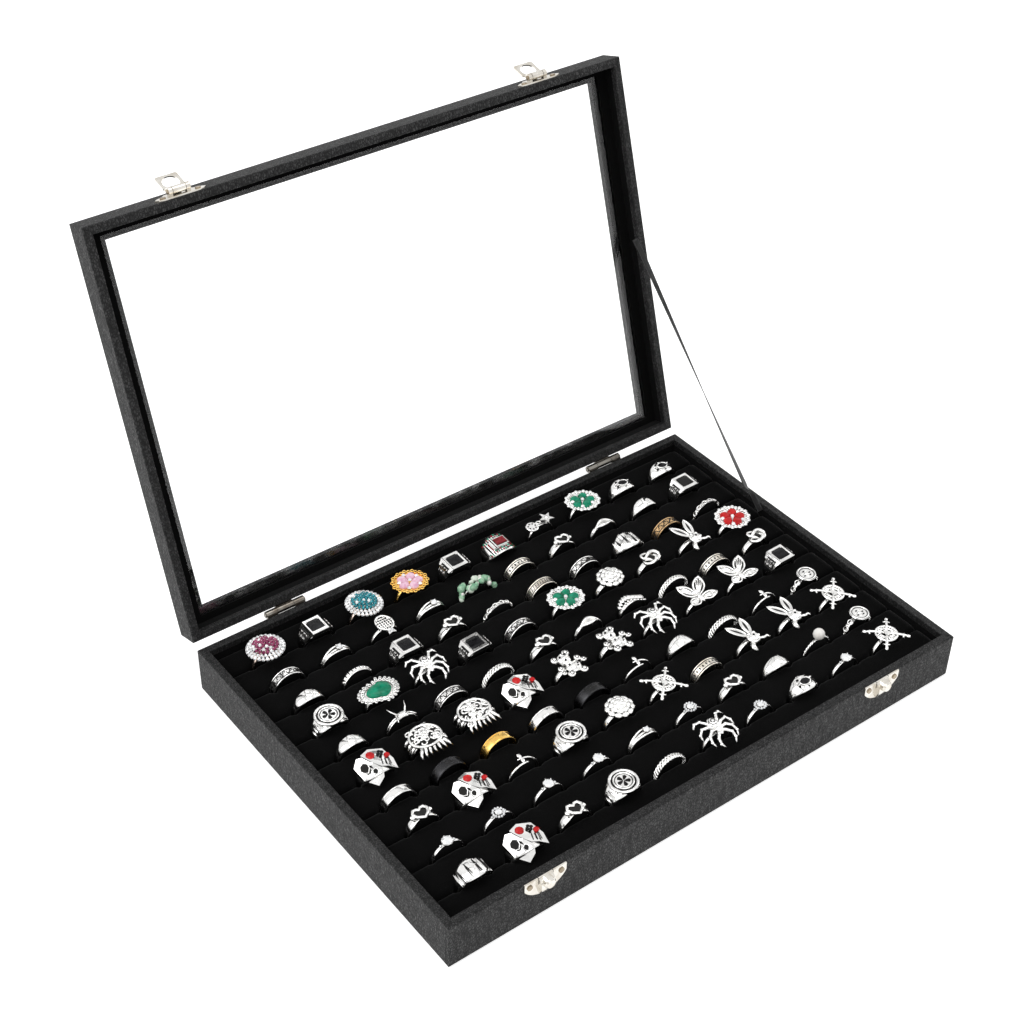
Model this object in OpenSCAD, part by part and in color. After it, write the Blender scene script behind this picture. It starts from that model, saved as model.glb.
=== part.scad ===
// Glass-lidded ring display case, shown with its lid open.
// Millimetres. X runs along the front, the front faces -Y, the hinges are at the back.
// The origin is the centre of the underside.

/* [Case] */
// Outside width, side to side
case_width = 350; // [300:1:420]
// Outside depth, front to back
case_depth = 240; // [200:1:300]
// Height of the lower tray
base_height = 30; // [28:0.5:45]
// Height of the lid frame
lid_height = 16.8; // [15.6:0.1:24]
// Angle the lid stands open, held by the stay ribbon
lid_open_angle = 107.3; // [95:0.1:112]

/* [Walls] */
// Thickness of the boards under the covering
board_thickness = 4; // [3.5:0.5:6]
// Thickness of the leatherette and of the velvet lining
cover_thickness = 0.5; // [0.4:0.1:0.7]
// How far the leatherette turns down inside the walls
turn_in = 4; // [3:0.5:6]
// How far the leatherette turns in under the tray
turn_under = 15; // [8:1:25]

/* [Window] */
// Width of the lid's lip beside the glass, left and right
lip_side = 15; // [13:0.5:20]
// Width of the lid's lip beside the glass, front and back
lip_front = 12.5; // [11.5:0.5:18]
// Thickness of the glass
glass_thickness = 2; // [1.6:0.2:3]

/* [Insert] */
// Drop from the tray's rim to the top of the velvet
insert_drop = 7; // [6:0.5:9]
// Gap between two velvet bars, where a ring's band is pushed in
slit_gap = 0.3; // [0.2:0.1:0.8]
// Radius of each bar's rounded top edges
bar_round = 2.6; // [1.5:0.1:4]

/* [Fittings] */
// Distance of each latch and hinge, to its middle, from the case's side
fitting_inset = 58; // [35:1:80]
// Width of each hinge
hinge_width = 25; // [22:1:32]
// Width of the stay ribbon
ribbon_width = 5; // [4:0.5:8]
// Distance of the ribbon's lower end from the tray's back
stay_base_inset = 87; // [60:1:100]
// Distance of the ribbon's upper end from the lid's hinged edge
stay_lid_inset = 128.5; // [110:0.5:140]

/* [Rings] */
// Inside radius of a display ring's band
ring_bore = 9.2; // [8.4:0.1:9.6]
// Thickness of a display ring's band
ring_thickness = 1.2; // [0.9:0.1:1.5]
// Depth of a display ring's centre below the top of the velvet
ring_seat = 3; // [2:0.5:4]

/* [Hidden] */
$fn = 48;
e = 0.02;
wall = board_thickness + 2 * cover_thickness;
cov = cover_thickness;
inner_w = case_width - 2 * wall;
inner_d = case_depth - 2 * wall;
front_y = -case_depth / 2;
back_y = case_depth / 2;

// Tray heights, from the underside up
sheet = 0.5;
board_z = sheet + cov;
panel_top = board_z + 2.5;
card_top = panel_top + 1;
insert_top = base_height - insert_drop;
rim_z = base_height;
outer_round = 0.9;
inner_round = 0.45;

// Lid heights, with the lid closed
lid_gap = 0.3;
lid_z = rim_z + lid_gap;
lid_top = lid_z + lid_height;
panel_t = 3;
lip_turn = 6;
lip_in = lid_top - 2 * cov - panel_t;
glass_z = lip_in - glass_thickness;
retainer_t = 1.2;
win_x = case_width / 2 - lip_side;
win_y = case_depth / 2 - lip_front;

// Hinge line
axis_y = back_y + 2.4;
axis_z = rim_z + lid_gap / 2;
knuckle_r = 2.1;
hinge_pin_r = 0.9;
hinge_x = case_width / 2 - fitting_inset;

// Latches: height and stand-off of the loop's pin, closed lid
latch_x = hinge_x;
loop_z = rim_z + 5.4;
loop_y = front_y - 3.2;
loop_r = 2.1;
loop_pin_r = 0.8;
loop_t = 0.8;
loop_len = 13.8;
loop_half = 6.5;
hole_at = 7.5;
hole_r = 4.8;
loop_rest = 150;
plate_t = 0.8;

// Velvet bars
slits = 10;
edge_bar = 17.7;
pitch = (inner_d - 2 * edge_bar) / (slits - 1);

// Display rings: ten along each slit, standing half sunk in the velvet
ring_cols = 10;
ring_edge = 26;
ring_step = (inner_w - 2 * ring_edge) / (ring_cols - 1);
ring_out = ring_bore + ring_thickness;

// One letter for each ring's form, left to right, in each slit from the front
RING_ROWS = [
    "ghorbxzdzm", "zzzznzoeai", "ohCrpmbyym", "bbbbbCebCi", "hjjhBBxuus",
    "ebbbonvbbk", "rtxsbfpkyf", "ensonbbgbn", "bnlnwbones", "cscfsqSfdd"
];

// Stay ribbon: where it leaves each wall
stay_x = inner_w / 2 - 0.55;
stay_base = [stay_x, back_y - stay_base_inset, insert_top + 1.5];
stay_lid_y = back_y - stay_lid_inset;
stay_lid_z = lid_z + 4.6;
stay_dy = stay_lid_y - axis_y;
stay_dz = stay_lid_z - axis_z;
stay_top = [
    stay_x,
    axis_y + stay_dy * cos(lid_open_angle) + stay_dz * sin(lid_open_angle),
    axis_z - stay_dy * sin(lid_open_angle) + stay_dz * cos(lid_open_angle)
];
stay_run = [stay_top[1] - stay_base[1], stay_top[2] - stay_base[2]];
stay_len = norm(stay_run);
stay_tilt = atan2(stay_run[0], stay_run[1]);
stay_flat = 9;
stay_turn = 60;
stay_bend = 10;

leather = [0.10, 0.10, 0.11];
velvet = [0.03, 0.03, 0.03];
board = [0.45, 0.38, 0.30];
metal = [0.78, 0.77, 0.74];
silver = [0.86, 0.85, 0.83];
glass = [0.80, 0.88, 0.88, 0.35];

// ---- shared shapes ----

// A block centred on x and y, from z0 to z1
module slab(w, d, z0, z1) translate([-w / 2, -d / 2, z0]) cube([w, d, z1 - z0]);

// A rectangular ring: outside w by d, with a hole hw by hd
module ring(w, d, hw, hd, z0, z1) difference() {
    slab(w, d, z0, z1);
    slab(hw, hd, z0 - 1, z1 + 1);
}

// A flat outline with quarter-round corners
module rounded_rect(w, d, r) {
    square([w - 2 * r, d], center = true);
    square([w, d - 2 * r], center = true);
    for (x = [-1, 1], y = [-1, 1]) translate([x * (w / 2 - r), y * (d / 2 - r)]) circle(r);
}

// What has to be cut away to round off a corner at the origin
module corner_cut(r) difference() {
    translate([-1, -1]) square([r + 1, r + 1]);
    translate([r, r]) circle(r);
}

// Cuts the round on the four outer top edges of a block, or its bottom edges with up = 0
module outer_edge_cut(w, d, z, r, up) translate([0, 0, z]) mirror([0, 0, 1 - up])
    for (k = [0:3]) {
        long = k % 2 == 0 ? w : d;
        deep = k % 2 == 0 ? d : w;
        rotate([0, 0, 90 * k]) translate([-long / 2 - 1, -deep / 2, 0]) rotate([90, 0, 90])
            linear_extrude(height = long + 2) mirror([0, 1]) corner_cut(r);
    }

// The same for the four inner edges of a w by d hole
module inner_edge_cut(w, d, z, r, up) translate([0, 0, z]) mirror([0, 0, 1 - up])
    for (k = [0:3]) {
        long = k % 2 == 0 ? w : d;
        deep = k % 2 == 0 ? d : w;
        rotate([0, 0, 90 * k]) translate([-long / 2 - r / 2, deep / 2, 0]) rotate([90, 0, 90])
            linear_extrude(height = long + r) mirror([0, 1]) corner_cut(r);
    }

// Mitre seams of the covering, across the four corners of a rim
module mitre_seams(z) for (x = [-1, 1], y = [-1, 1])
    translate([x * (case_width / 2 - wall / 2), y * (case_depth / 2 - wall / 2), z])
        rotate([0, 0, 45 * x * y]) cube([wall * 2, 0.22, 0.4], center = true);

// Turns the closed lid up to its open angle
module opened() translate([0, axis_y, axis_z]) rotate([-lid_open_angle, 0, 0])
    translate([0, -axis_y, -axis_z]) children();

// A round bar along X between x0 and x1
module bar_x(x0, x1, r) translate([x0, 0, 0]) rotate([0, 90, 0]) cylinder(h = x1 - x0, r = r);

// A nail driven along +Y: domed head outside, shank inside, tip of the head at y = 0
module nail_y() {
    rotate([-90, 0, 0]) intersection() {
        translate([0, 0, 1.58]) sphere(r = 2.18);
        cylinder(h = 0.6, r = 1.6);
    }
    translate([0, 0.6, 0]) rotate([-90, 0, 0]) cylinder(h = 4.2, r = 0.55);
}

// Where the nails go, as shank-sized holes
module nail_hole_y(dir) rotate([-90 * dir, 0, 0]) translate([0, 0, -1]) cylinder(h = 5.6, r = 0.55);
catch_nail = [9.8, -3.7];
hasp_nail = [10.3, 3.9];
hinge_nail = [7.5, 8.2];

module base_front_holes() for (s = [-1, 1], t = [-1, 1])
    translate([s * latch_x + t * catch_nail[0], front_y - plate_t, rim_z + catch_nail[1]])
        nail_hole_y(1);
module base_back_holes() for (s = [-1, 1], t = [-1, 1])
    translate([s * hinge_x + t * hinge_nail[0], back_y + plate_t, axis_z - hinge_nail[1]])
        nail_hole_y(-1);
module lid_front_holes() for (s = [-1, 1], t = [-1, 1])
    translate([s * latch_x + t * hasp_nail[0], front_y - plate_t, rim_z + hasp_nail[1]])
        nail_hole_y(1);
module lid_back_holes() for (s = [-1, 1], t = [-1, 1])
    translate([s * hinge_x + t * hinge_nail[0], back_y + plate_t, axis_z + hinge_nail[1]])
        nail_hole_y(-1);

// ---- tray ----

module base_long_board(side) color(board) difference() {
    translate([0, side * (case_depth / 2 - cov - board_thickness / 2), 0])
        slab(case_width - 2 * cov, board_thickness, board_z, rim_z - cov);
    base_front_holes();
    base_back_holes();
}
module base_short_board(side) color(board)
    translate([side * (case_width / 2 - cov - board_thickness / 2), 0, 0])
        slab(board_thickness, inner_d + 2 * cov, board_z, rim_z - cov);
module base_front_board() base_long_board(-1);
module base_back_board() base_long_board(1);
module base_left_board() base_short_board(-1);
module base_right_board() base_short_board(1);

module base_bottom_panel() color(board) slab(inner_w + 2 * cov, inner_d + 2 * cov, board_z, panel_top);

module base_underside_sheet() color(velvet) slab(case_width - 5, case_depth - 5, 0, sheet);

// Leatherette: up the outside, over the rim, turned down inside and under the bottom
module base_wrap() color(leather) difference() {
    slab(case_width, case_depth, sheet, rim_z);
    // Room for the wall boards and the bottom panel
    ring(case_width - 2 * cov, case_depth - 2 * cov, inner_w + 2 * cov, inner_d + 2 * cov,
        board_z, rim_z - cov);
    slab(inner_w + 3 * cov, inner_d + 3 * cov, board_z, rim_z - turn_in);
    slab(inner_w, inner_d, board_z, rim_z + 1);
    slab(case_width - 2 * turn_under, case_depth - 2 * turn_under, 0, panel_top);
    outer_edge_cut(case_width, case_depth, rim_z, outer_round, 1);
    outer_edge_cut(case_width, case_depth, sheet, outer_round, 0);
    inner_edge_cut(inner_w, inner_d, rim_z, inner_round, 1);
    base_front_holes();
    base_back_holes();
    mitre_seams(rim_z);
    // Overlap seams of the covering, down the front left corner
    for (y = [1.0, 2.3]) translate([-case_width / 2 - 1, front_y + y, sheet + 1])
        cube([1.2, 0.22, rim_z - sheet - 2]);
}

module base_liner() color(velvet)
    ring(inner_w + 2 * cov, inner_d + 2 * cov, inner_w, inner_d, panel_top, rim_z - turn_in);

module insert_card() color(velvet) slab(inner_w - 0.6, inner_d - 0.6, panel_top, card_top);

// One velvet-covered foam bar, number n of slits + 1 counted from the front
module foam_bar(n) {
    y0 = n == 1 ? -inner_d / 2 + 0.3 : -inner_d / 2 + edge_bar + (n - 2) * pitch + slit_gap / 2;
    y1 = n == slits + 1 ? inner_d / 2 - 0.3 : -inner_d / 2 + edge_bar + (n - 1) * pitch - slit_gap / 2;
    h = insert_top - card_top;
    color(velvet) translate([-inner_w / 2 + 0.3, y0, card_top]) rotate([90, 0, 90])
        linear_extrude(height = inner_w - 0.6) difference() {
            square([y1 - y0, h]);
            translate([0, h]) mirror([0, 1]) corner_cut(bar_round);
            translate([y1 - y0, h]) mirror([1, 0]) mirror([0, 1]) corner_cut(bar_round);
        }
}
module foam_bar_01() foam_bar(1);
module foam_bar_02() foam_bar(2);
module foam_bar_03() foam_bar(3);
module foam_bar_04() foam_bar(4);
module foam_bar_05() foam_bar(5);
module foam_bar_06() foam_bar(6);
module foam_bar_07() foam_bar(7);
module foam_bar_08() foam_bar(8);
module foam_bar_09() foam_bar(9);
module foam_bar_10() foam_bar(10);
module foam_bar_11() foam_bar(11);

// ---- display rings ----

// Height, from a ring's centre, at which a band of width w rests on the bars' rounded edges
function foot(w) = let (reach = (w - slit_gap) / 2) ring_seat + (reach >= bar_round ? 0
    : sqrt(pow(bar_round, 2) - pow(bar_round - reach, 2)) - bar_round);

module across(r, w) rotate([90, 0, 0]) cylinder(h = w, r = r, center = true);
module disc(r, z0, z1) translate([0, 0, z0]) cylinder(h = z1 - z0, r = r);
module flat(z0, z1) translate([0, 0, z0]) linear_extrude(height = z1 - z0) children();

// A band as wide as w above the velvet, and as thin as the slit between the bars
module band(w) {
    intersection() {
        across(ring_out, w);
        slab(30, w + 1, foot(w), 20);
    }
    across(ring_out, slit_gap);
}

// A head that curves with the band: w wide, with its outside at r, as long as a disc of radius l
module saddle(w, r, l) intersection() {
    across(r, w);
    disc(l, ring_seat + 0.5, 14);
}
module shoulders(x, w, z0) slab(2 * x, w, z0, ring_out - 0.1);
// Pieces that repeat on both sides of the ring's middle
module pair() for (s = [0, 1]) mirror([s, 0, 0]) children();

// A display ring round the origin, band in the XZ plane, head up
module display_ring(form) difference() {
    up = ring_out - 0.4;
    union() {
        if (form == "b") band(5.6);
        if (form == "n") { band(3.4); saddle(4.6, up + 1.3, 4); }
        if (form == "z") { band(1.8); disc(1.5, up, up + 1.2); disc(3.2, up + 0.9, up + 2.4); }
        if (form == "a") { band(1.8); translate([0, 0, up + 3.3]) sphere(r = 3.4); }
        if (form == "e") { band(3); saddle(8.6, up + 1.4, 6.8); }
        if (form == "d") { band(3.2); saddle(11, up + 2, 7); }
        if (form == "g") { band(3.6); saddle(13, up + 2.2, 8.2); }
        if (form == "q") {
            band(4);
            saddle(15, up + 1.8, 9);
            slab(8.6, 6.4, up, up + 3);
        }
        if (form == "s") {
            band(3.8);
            shoulders(9.6, 5.4, ring_seat + 1);
            shoulders(8.2, 8.6, ring_seat + 4);
            slab(10.8, 12.2, up, up + 2.9);
        }
        if (form == "r") {
            band(3.6);
            shoulders(9, 6, ring_seat + 2);
            disc(8.2, up, up + 2.5);
        }
        if (form == "c") {
            band(2);
            disc(3.4, up, up + 2);
            disc(10.8, up + 1.2, up + 3);
            disc(7.2, up + 2.9, up + 5);
        }
        if (form == "f") {
            band(2.2);
            disc(3.4, up, up + 1.4);
            flat(up + 1.2, up + 2.6) rounded_rect(21.6, 19.4, 9);
            disc(6.2, up + 2.5, up + 3.7);
        }
        if (form == "t") {
            band(2.4);
            disc(3.4, up, up + 1.6);
            flat(up + 1.5, up + 2.8) union() {
                translate([2, 0]) circle(9);
                polygon([[2, 9], [-6.6, 6.2], [-11.2, 0], [-6.6, -6.2], [2, -9]]);
            }
            translate([1.6, 0, 0]) disc(5.8, up + 2.7, up + 3.9);
        }
        if (form == "l") {
            band(2);
            slab(3.6, 11, up, up + 1.8);
            flat(up + 1.4, up + 2.7) difference() {
                rounded_rect(11.4, 13, 5.6);
                rounded_rect(9, 10.6, 4.4);
            }
        }
        if (form == "w") { band(4.4); saddle(8.4, up + 2.4, 9.8); }
        if (form == "o") {
            band(2.2);
            difference() {
                disc(4.4, up - 0.2, up + 2);
                disc(2.4, up - 2, up + 3);
            }
        }
        if (form == "k") { band(3.2); disc(5.6, up, up + 1.6); disc(3.6, up + 1.5, up + 3.2); }
        if (form == "p") { band(2.8); disc(8.2, up, up + 2.4); disc(5.2, up + 2.3, up + 4.6); }
        if (form == "v") { band(4.8); saddle(6.6, up + 1.5, 8.6); }
        if (form == "S") { band(3); disc(3, up, up + 1.4); flat(up + 1.2, up + 2.4) star(5, 9, 5); }
        if (form == "B") {
            band(2.6);
            disc(2.6, up, up + 1.4);
            flat(up + 1.2, up + 3) star(5, 10.4, 7.4);
            translate([0, 3.4, 0]) disc(4.2, up + 2.9, up + 5);
            translate([0, -3.6, 0]) disc(4.2, up + 2.9, up + 4.4);
        }
        if (form == "x") {
            band(2);
            disc(2.2, up, up + 3.6);
            for (a = [-58, -22, 22, 58]) rotate([0, 0, a]) slab(21, 1.6, up + 1.2, up + 2.6);
            translate([0, 4, up + 2.4]) sphere(r = 3.2);
        }
        if (form == "u") {
            band(2);
            slab(3, 12, up, up + 3);
            pair() flat(up + 1.4, up + 2.6)
                polygon([[-0.5, 4], [7.6, 10.4], [9.8, 8.6], [8, 1.4], [8.4, -4.4], [4.8, -6.6], [-0.5, -4]]);
        }
        if (form == "y") {
            band(2.4);
            disc(4.4, up, up + 2.6);
            pair() flat(up + 1.6, up + 3.2)
                polygon([[-0.5, -2], [1.6, 3], [4.6, 11], [8, 7], [7.6, -1], [4.6, -7.4], [-0.5, -8.6]]);
        }
        if (form == "h") {
            band(4);
            shoulders(9, 6, ring_seat + 1.5);
            flat(up, up + 2.6) polygon([[-9.2, 6], [-9.2, -2.4], [0, -8.4], [9.2, -2.4], [9.2, 6], [0, 7.6]]);
        }
        if (form == "j") {
            band(3);
            disc(4, up, up + 1.2);
            flat(up + 0.6, up + 3) rounded_rect(19.6, 17.6, 6.4);
        }
        if (form == "i") { band(1.8); flat(up, up + 2.4) rounded_rect(13, 11.6, 5.6); }
        if (form == "m") {
            band(2);
            disc(3.4, up, up + 1.4);
            flat(up + 1.2, up + 2.6) rotate(45) star(4, 12.4, 5);
            disc(6.6, up + 1.2, up + 3);
        }
        if (form == "C") { band(3); saddle(4.8, up + 1.3, 8); disc(2.4, up, up + 2.6); }
    }
    across(ring_bore, 30);
}

// A flat star of n points
module star(n, out, in) polygon([for (k = [0 : 2 * n - 1])
    (k % 2 == 0 ? out : in) * [sin(180 * k / n), cos(180 * k / n)]]);

// The rings in slits n and n + 1, counted from the front
module display_rings(n) color(silver) for (row = [n, n + 1], col = [0 : ring_cols - 1])
    translate([-inner_w / 2 + ring_edge + col * ring_step, -inner_d / 2 + edge_bar + (row - 1) * pitch,
        insert_top - ring_seat]) display_ring(RING_ROWS[row - 1][col]);
module display_rings_01_02() display_rings(1);
module display_rings_03_04() display_rings(3);
module display_rings_05_06() display_rings(5);
module display_rings_07_08() display_rings(7);
module display_rings_09_10() display_rings(9);

// Catch on the tray's front: a bowl-shaped plate with a raised tongue and a nose
module catch(side) color(metal) translate([side * latch_x, front_y, rim_z]) difference() {
    union() {
        rotate([90, 0, 0]) linear_extrude(height = plate_t) intersection() {
            translate([0, 2.93]) circle(15.33, $fn = 96);
            translate([-13, -12.6]) square([26, 12.2]);
        }
        rotate([90, 0, 90]) translate([0, 0, -4.2]) linear_extrude(height = 8.4) intersection() {
            translate([2.6, -6.1]) circle(6.2, $fn = 96);
            translate([-3.3, -11.2]) square([2.9, 10.4]);
        }
        translate([0, -plate_t + e, -3.3]) rotate([90, 0, 0]) cylinder(h = 3.7, r = 3.3);
        translate([0, -plate_t - 3.68 + e, -3.3]) rotate([90, 0, 0])
            cylinder(h = 1.1, r1 = 3.3, r2 = 2.5);
    }
    for (t = [-1, 1]) {
        translate([t * catch_nail[0], -plate_t, catch_nail[1]]) nail_hole_y(1);
        // Slits beside the pressed-out tongue
        translate([t * 4.55 - 0.2, -2, -4.6]) cube([0.4, 4, 5]);
    }
}
module catch_left() catch(-1);
module catch_right() catch(1);

module catch_nails(side) color(metal) for (t = [-1, 1])
    translate([side * latch_x + t * catch_nail[0], front_y - plate_t - 0.6, rim_z + catch_nail[1]])
        nail_y();
module catch_nails_left() catch_nails(-1);
module catch_nails_right() catch_nails(1);

// ---- hinges ----

module hinge_base_leaf(side) color(metal) translate([side * hinge_x, 0, 0]) {
    half = hinge_width / 2;
    difference() {
        union() {
            translate([-half, back_y, axis_z - 13]) cube([hinge_width, plate_t, 13 - knuckle_r - 0.4]);
            for (t = [-1, 1]) translate([t * (half / 2 + 2.825), 0, 0]) {
                translate([-half / 2 + 2.825, back_y, axis_z - 4])
                    cube([half - 5.65, plate_t, 4]);
                translate([0, axis_y, axis_z]) bar_x(-half / 2 + 2.825, half / 2 - 2.825, knuckle_r);
            }
        }
        translate([0, axis_y, axis_z]) bar_x(-half - 1, half + 1, hinge_pin_r);
        for (t = [-1, 1]) translate([t * hinge_nail[0], back_y + plate_t, axis_z - hinge_nail[1]])
            nail_hole_y(-1);
    }
}
module hinge_base_leaf_left() hinge_base_leaf(-1);
module hinge_base_leaf_right() hinge_base_leaf(1);

module hinge_pin(side) color(metal) translate([side * hinge_x, axis_y, axis_z]) {
    bar_x(-hinge_width / 2 - 0.1, hinge_width / 2 + 0.1, hinge_pin_r);
    for (t = [-1, 1]) translate([t * (hinge_width / 2 + 0.3), 0, 0]) bar_x(-0.3, 0.3, 1.3);
}
module hinge_pin_left() hinge_pin(-1);
module hinge_pin_right() hinge_pin(1);

module hinge_base_nails(side) color(metal) for (t = [-1, 1])
    translate([side * hinge_x + t * hinge_nail[0], back_y + plate_t + 0.6, axis_z - hinge_nail[1]])
        mirror([0, 1, 0]) nail_y();
module hinge_base_nails_left() hinge_base_nails(-1);
module hinge_base_nails_right() hinge_base_nails(1);

module hinge_lid_leaf(side) color(metal) opened() translate([side * hinge_x, 0, 0]) difference() {
    union() {
        translate([-hinge_width / 2, back_y, axis_z + knuckle_r + 0.4])
            cube([hinge_width, plate_t, 13 - knuckle_r - 0.4]);
        translate([-5.35, back_y, axis_z]) cube([10.7, plate_t, 4]);
        translate([0, axis_y, axis_z]) bar_x(-5.35, 5.35, knuckle_r);
    }
    translate([0, axis_y, axis_z]) bar_x(-6, 6, hinge_pin_r + 0.05);
    for (t = [-1, 1]) translate([t * hinge_nail[0], back_y + plate_t, axis_z + hinge_nail[1]])
        nail_hole_y(-1);
}
module hinge_lid_leaf_left() hinge_lid_leaf(-1);
module hinge_lid_leaf_right() hinge_lid_leaf(1);

module hinge_lid_nails(side) color(metal) opened() for (t = [-1, 1])
    translate([side * hinge_x + t * hinge_nail[0], back_y + plate_t + 0.6, axis_z + hinge_nail[1]])
        mirror([0, 1, 0]) nail_y();
module hinge_lid_nails_left() hinge_lid_nails(-1);
module hinge_lid_nails_right() hinge_lid_nails(1);

// ---- stay ribbon ----

// Flat on each wall, and turned off it in between round its rear edge; z runs up to the lid
module stay_ribbon() color(velvet) translate(stay_base) rotate([-stay_tilt, 0, 0])
    translate([0, -ribbon_width / 2, 0]) {
        rest = stay_len - 2 * stay_flat - stay_bend;
        translate([-0.25, 0, 0]) cube([0.5, ribbon_width, stay_flat]);
        translate([0, 0, stay_flat]) linear_extrude(height = stay_bend, twist = -stay_turn, slices = 8, $fn = 4)
            translate([-0.25, 0]) square([0.5, ribbon_width]);
        translate([0, 0, stay_flat + stay_bend]) linear_extrude(height = rest, twist = stay_turn, slices = 16, $fn = 4)
            rotate(stay_turn) translate([-0.25, 0]) square([0.5, ribbon_width]);
        translate([-0.25, 0, stay_len - stay_flat]) cube([0.5, ribbon_width, stay_flat]);
    }

// Pads that hold the ribbon's two ends against the lining
module stay_patch_base() color(velvet) translate(stay_base) rotate([-stay_tilt, 0, 0])
    translate([0.25, -ribbon_width / 2, 0.5]) cube([0.3, ribbon_width, 6]);
module stay_patch_lid() color(velvet) translate(stay_base) rotate([-stay_tilt, 0, 0])
    translate([0.27, -ribbon_width / 2, stay_len - 6.5]) cube([0.28, ribbon_width, 6]);

// ---- lid ----

module lid_long_board(side) color(board) opened() difference() {
    translate([0, side * (case_depth / 2 - cov - board_thickness / 2), 0])
        slab(case_width - 2 * cov, board_thickness, lid_z + cov, lid_top - cov - panel_t);
    lid_front_holes();
    lid_back_holes();
}
module lid_short_board(side) color(board) opened()
    translate([side * (case_width / 2 - cov - board_thickness / 2), 0, 0])
        slab(board_thickness, inner_d + 2 * cov, lid_z + cov, lid_top - cov - panel_t);
module lid_front_board() lid_long_board(-1);
module lid_back_board() lid_long_board(1);
module lid_left_board() lid_short_board(-1);
module lid_right_board() lid_short_board(1);

module lid_top_panel() color(board) opened()
    ring(case_width - 2 * cov, case_depth - 2 * cov, 2 * (win_x + cov), 2 * (win_y + cov),
        lid_top - cov - panel_t, lid_top - cov);

// Leatherette: over the rim, up the outside, over the top and through the window
module lid_wrap() color(leather) opened() difference() {
    slab(case_width, case_depth, lid_z, lid_top);
    // Room for the frame boards and the top panel
    ring(case_width - 2 * cov, case_depth - 2 * cov, inner_w + 2 * cov, inner_d + 2 * cov,
        lid_z + cov, lid_top - cov);
    ring(inner_w + 3 * cov, inner_d + 3 * cov, 2 * (win_x + cov), 2 * (win_y + cov),
        lid_top - cov - panel_t, lid_top - cov);
    slab(inner_w + 3 * cov, inner_d + 3 * cov, lid_z + turn_in, lip_in);
    ring(inner_w + 3 * cov, inner_d + 3 * cov, 2 * (win_x + lip_turn), 2 * (win_y + lip_turn),
        lip_in - 1, lid_top - cov - panel_t + 0.5);
    slab(inner_w, inner_d, lid_z - 1, lip_in);
    slab(2 * win_x, 2 * win_y, lip_in - 1, lid_top + 1);
    outer_edge_cut(case_width, case_depth, lid_top, outer_round, 1);
    outer_edge_cut(case_width, case_depth, lid_z, outer_round, 0);
    inner_edge_cut(inner_w, inner_d, lid_z, inner_round, 0);
    inner_edge_cut(2 * win_x, 2 * win_y, lid_top, inner_round, 1);
    lid_front_holes();
    lid_back_holes();
    mitre_seams(lid_z);
}

module lid_liner() color(velvet) opened()
    ring(inner_w + 2 * cov, inner_d + 2 * cov, inner_w, inner_d, lid_z + turn_in, lip_in);

module glass_pane() color(glass) opened()
    slab(2 * (win_x + lip_turn), 2 * (win_y + lip_turn - 0.5), glass_z, lip_in);

module glass_retainer() color(velvet) opened()
    ring(inner_w, inner_d, 2 * win_x + 6.6, 2 * win_y + 6.6, glass_z - retainer_t, glass_z);

// ---- hasps on the lid's front ----

module hasp_plate(side) color(metal) opened() translate([side * latch_x, 0, 0]) difference() {
    union() {
        translate([0, front_y, rim_z]) rotate([90, 0, 0]) linear_extrude(height = plate_t)
            polygon([[-15, 3.9], [-13.4, 2.2], [-10.5, 1.3], [10.5, 1.3], [13.4, 2.2], [15, 3.9],
                [12.6, 6.2], [9.4, 7.4], [7, 10.2], [-7, 10.2], [-9.4, 7.4], [-12.6, 6.2]]);
        for (t = [-1, 1]) translate([t * 5.2, 0, 0]) {
            translate([0, loop_y, loop_z]) bar_x(-1.15, 1.15, loop_r);
            translate([-1.15, loop_y, loop_z - 1.3]) cube([2.3, front_y - loop_y - 0.4, 2.4]);
        }
        // Tab that the opened loop lies back on
        translate([-3, front_y - 2.55, loop_z + 3.6]) cube([6, 2.2, 0.8]);
    }
    translate([0, loop_y, loop_z]) bar_x(-7, 7, loop_pin_r);
    for (t = [-1, 1]) translate([t * hasp_nail[0], front_y - plate_t, rim_z + hasp_nail[1]])
        nail_hole_y(1);
}
module hasp_plate_left() hasp_plate(-1);
module hasp_plate_right() hasp_plate(1);

module hasp_pin(side) color(metal) opened() translate([side * latch_x, loop_y, loop_z]) {
    bar_x(-6.45, 6.45, loop_pin_r);
    for (t = [-1, 1]) translate([t * 6.6, 0, 0]) bar_x(-0.25, 0.25, 1.2);
}
module hasp_pin_left() hasp_pin(-1);
module hasp_pin_right() hasp_pin(1);

module hasp_nails(side) color(metal) opened() for (t = [-1, 1])
    translate([side * latch_x + t * hasp_nail[0], front_y - plate_t - 0.6, rim_z + hasp_nail[1]])
        nail_y();
module hasp_nails_left() hasp_nails(-1);
module hasp_nails_right() hasp_nails(1);

// Square loop with a round hole, swung up from the catch and lying back on its tab
module hasp_loop(side) color(metal) opened() translate([side * latch_x, loop_y, loop_z])
    rotate([-loop_rest, 0, 0]) difference() {
        union() {
            bar_x(-3.75, 3.75, loop_r);
            translate([-3.75, -loop_r, -3.4]) cube([7.5, loop_t, 3.4]);
            translate([0, -loop_r + loop_t, 0]) rotate([90, 0, 0]) linear_extrude(height = loop_t)
                translate([0, -(loop_len + 3.3) / 2])
                    rounded_rect(2 * loop_half, loop_len - 3.3, 1.1);
        }
        bar_x(-5, 5, loop_pin_r + 0.05);
        translate([0, 0, -hole_at]) rotate([90, 0, 0]) cylinder(h = 8, r = hole_r);
    }
module hasp_loop_left() hasp_loop(-1);
module hasp_loop_right() hasp_loop(1);

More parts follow.
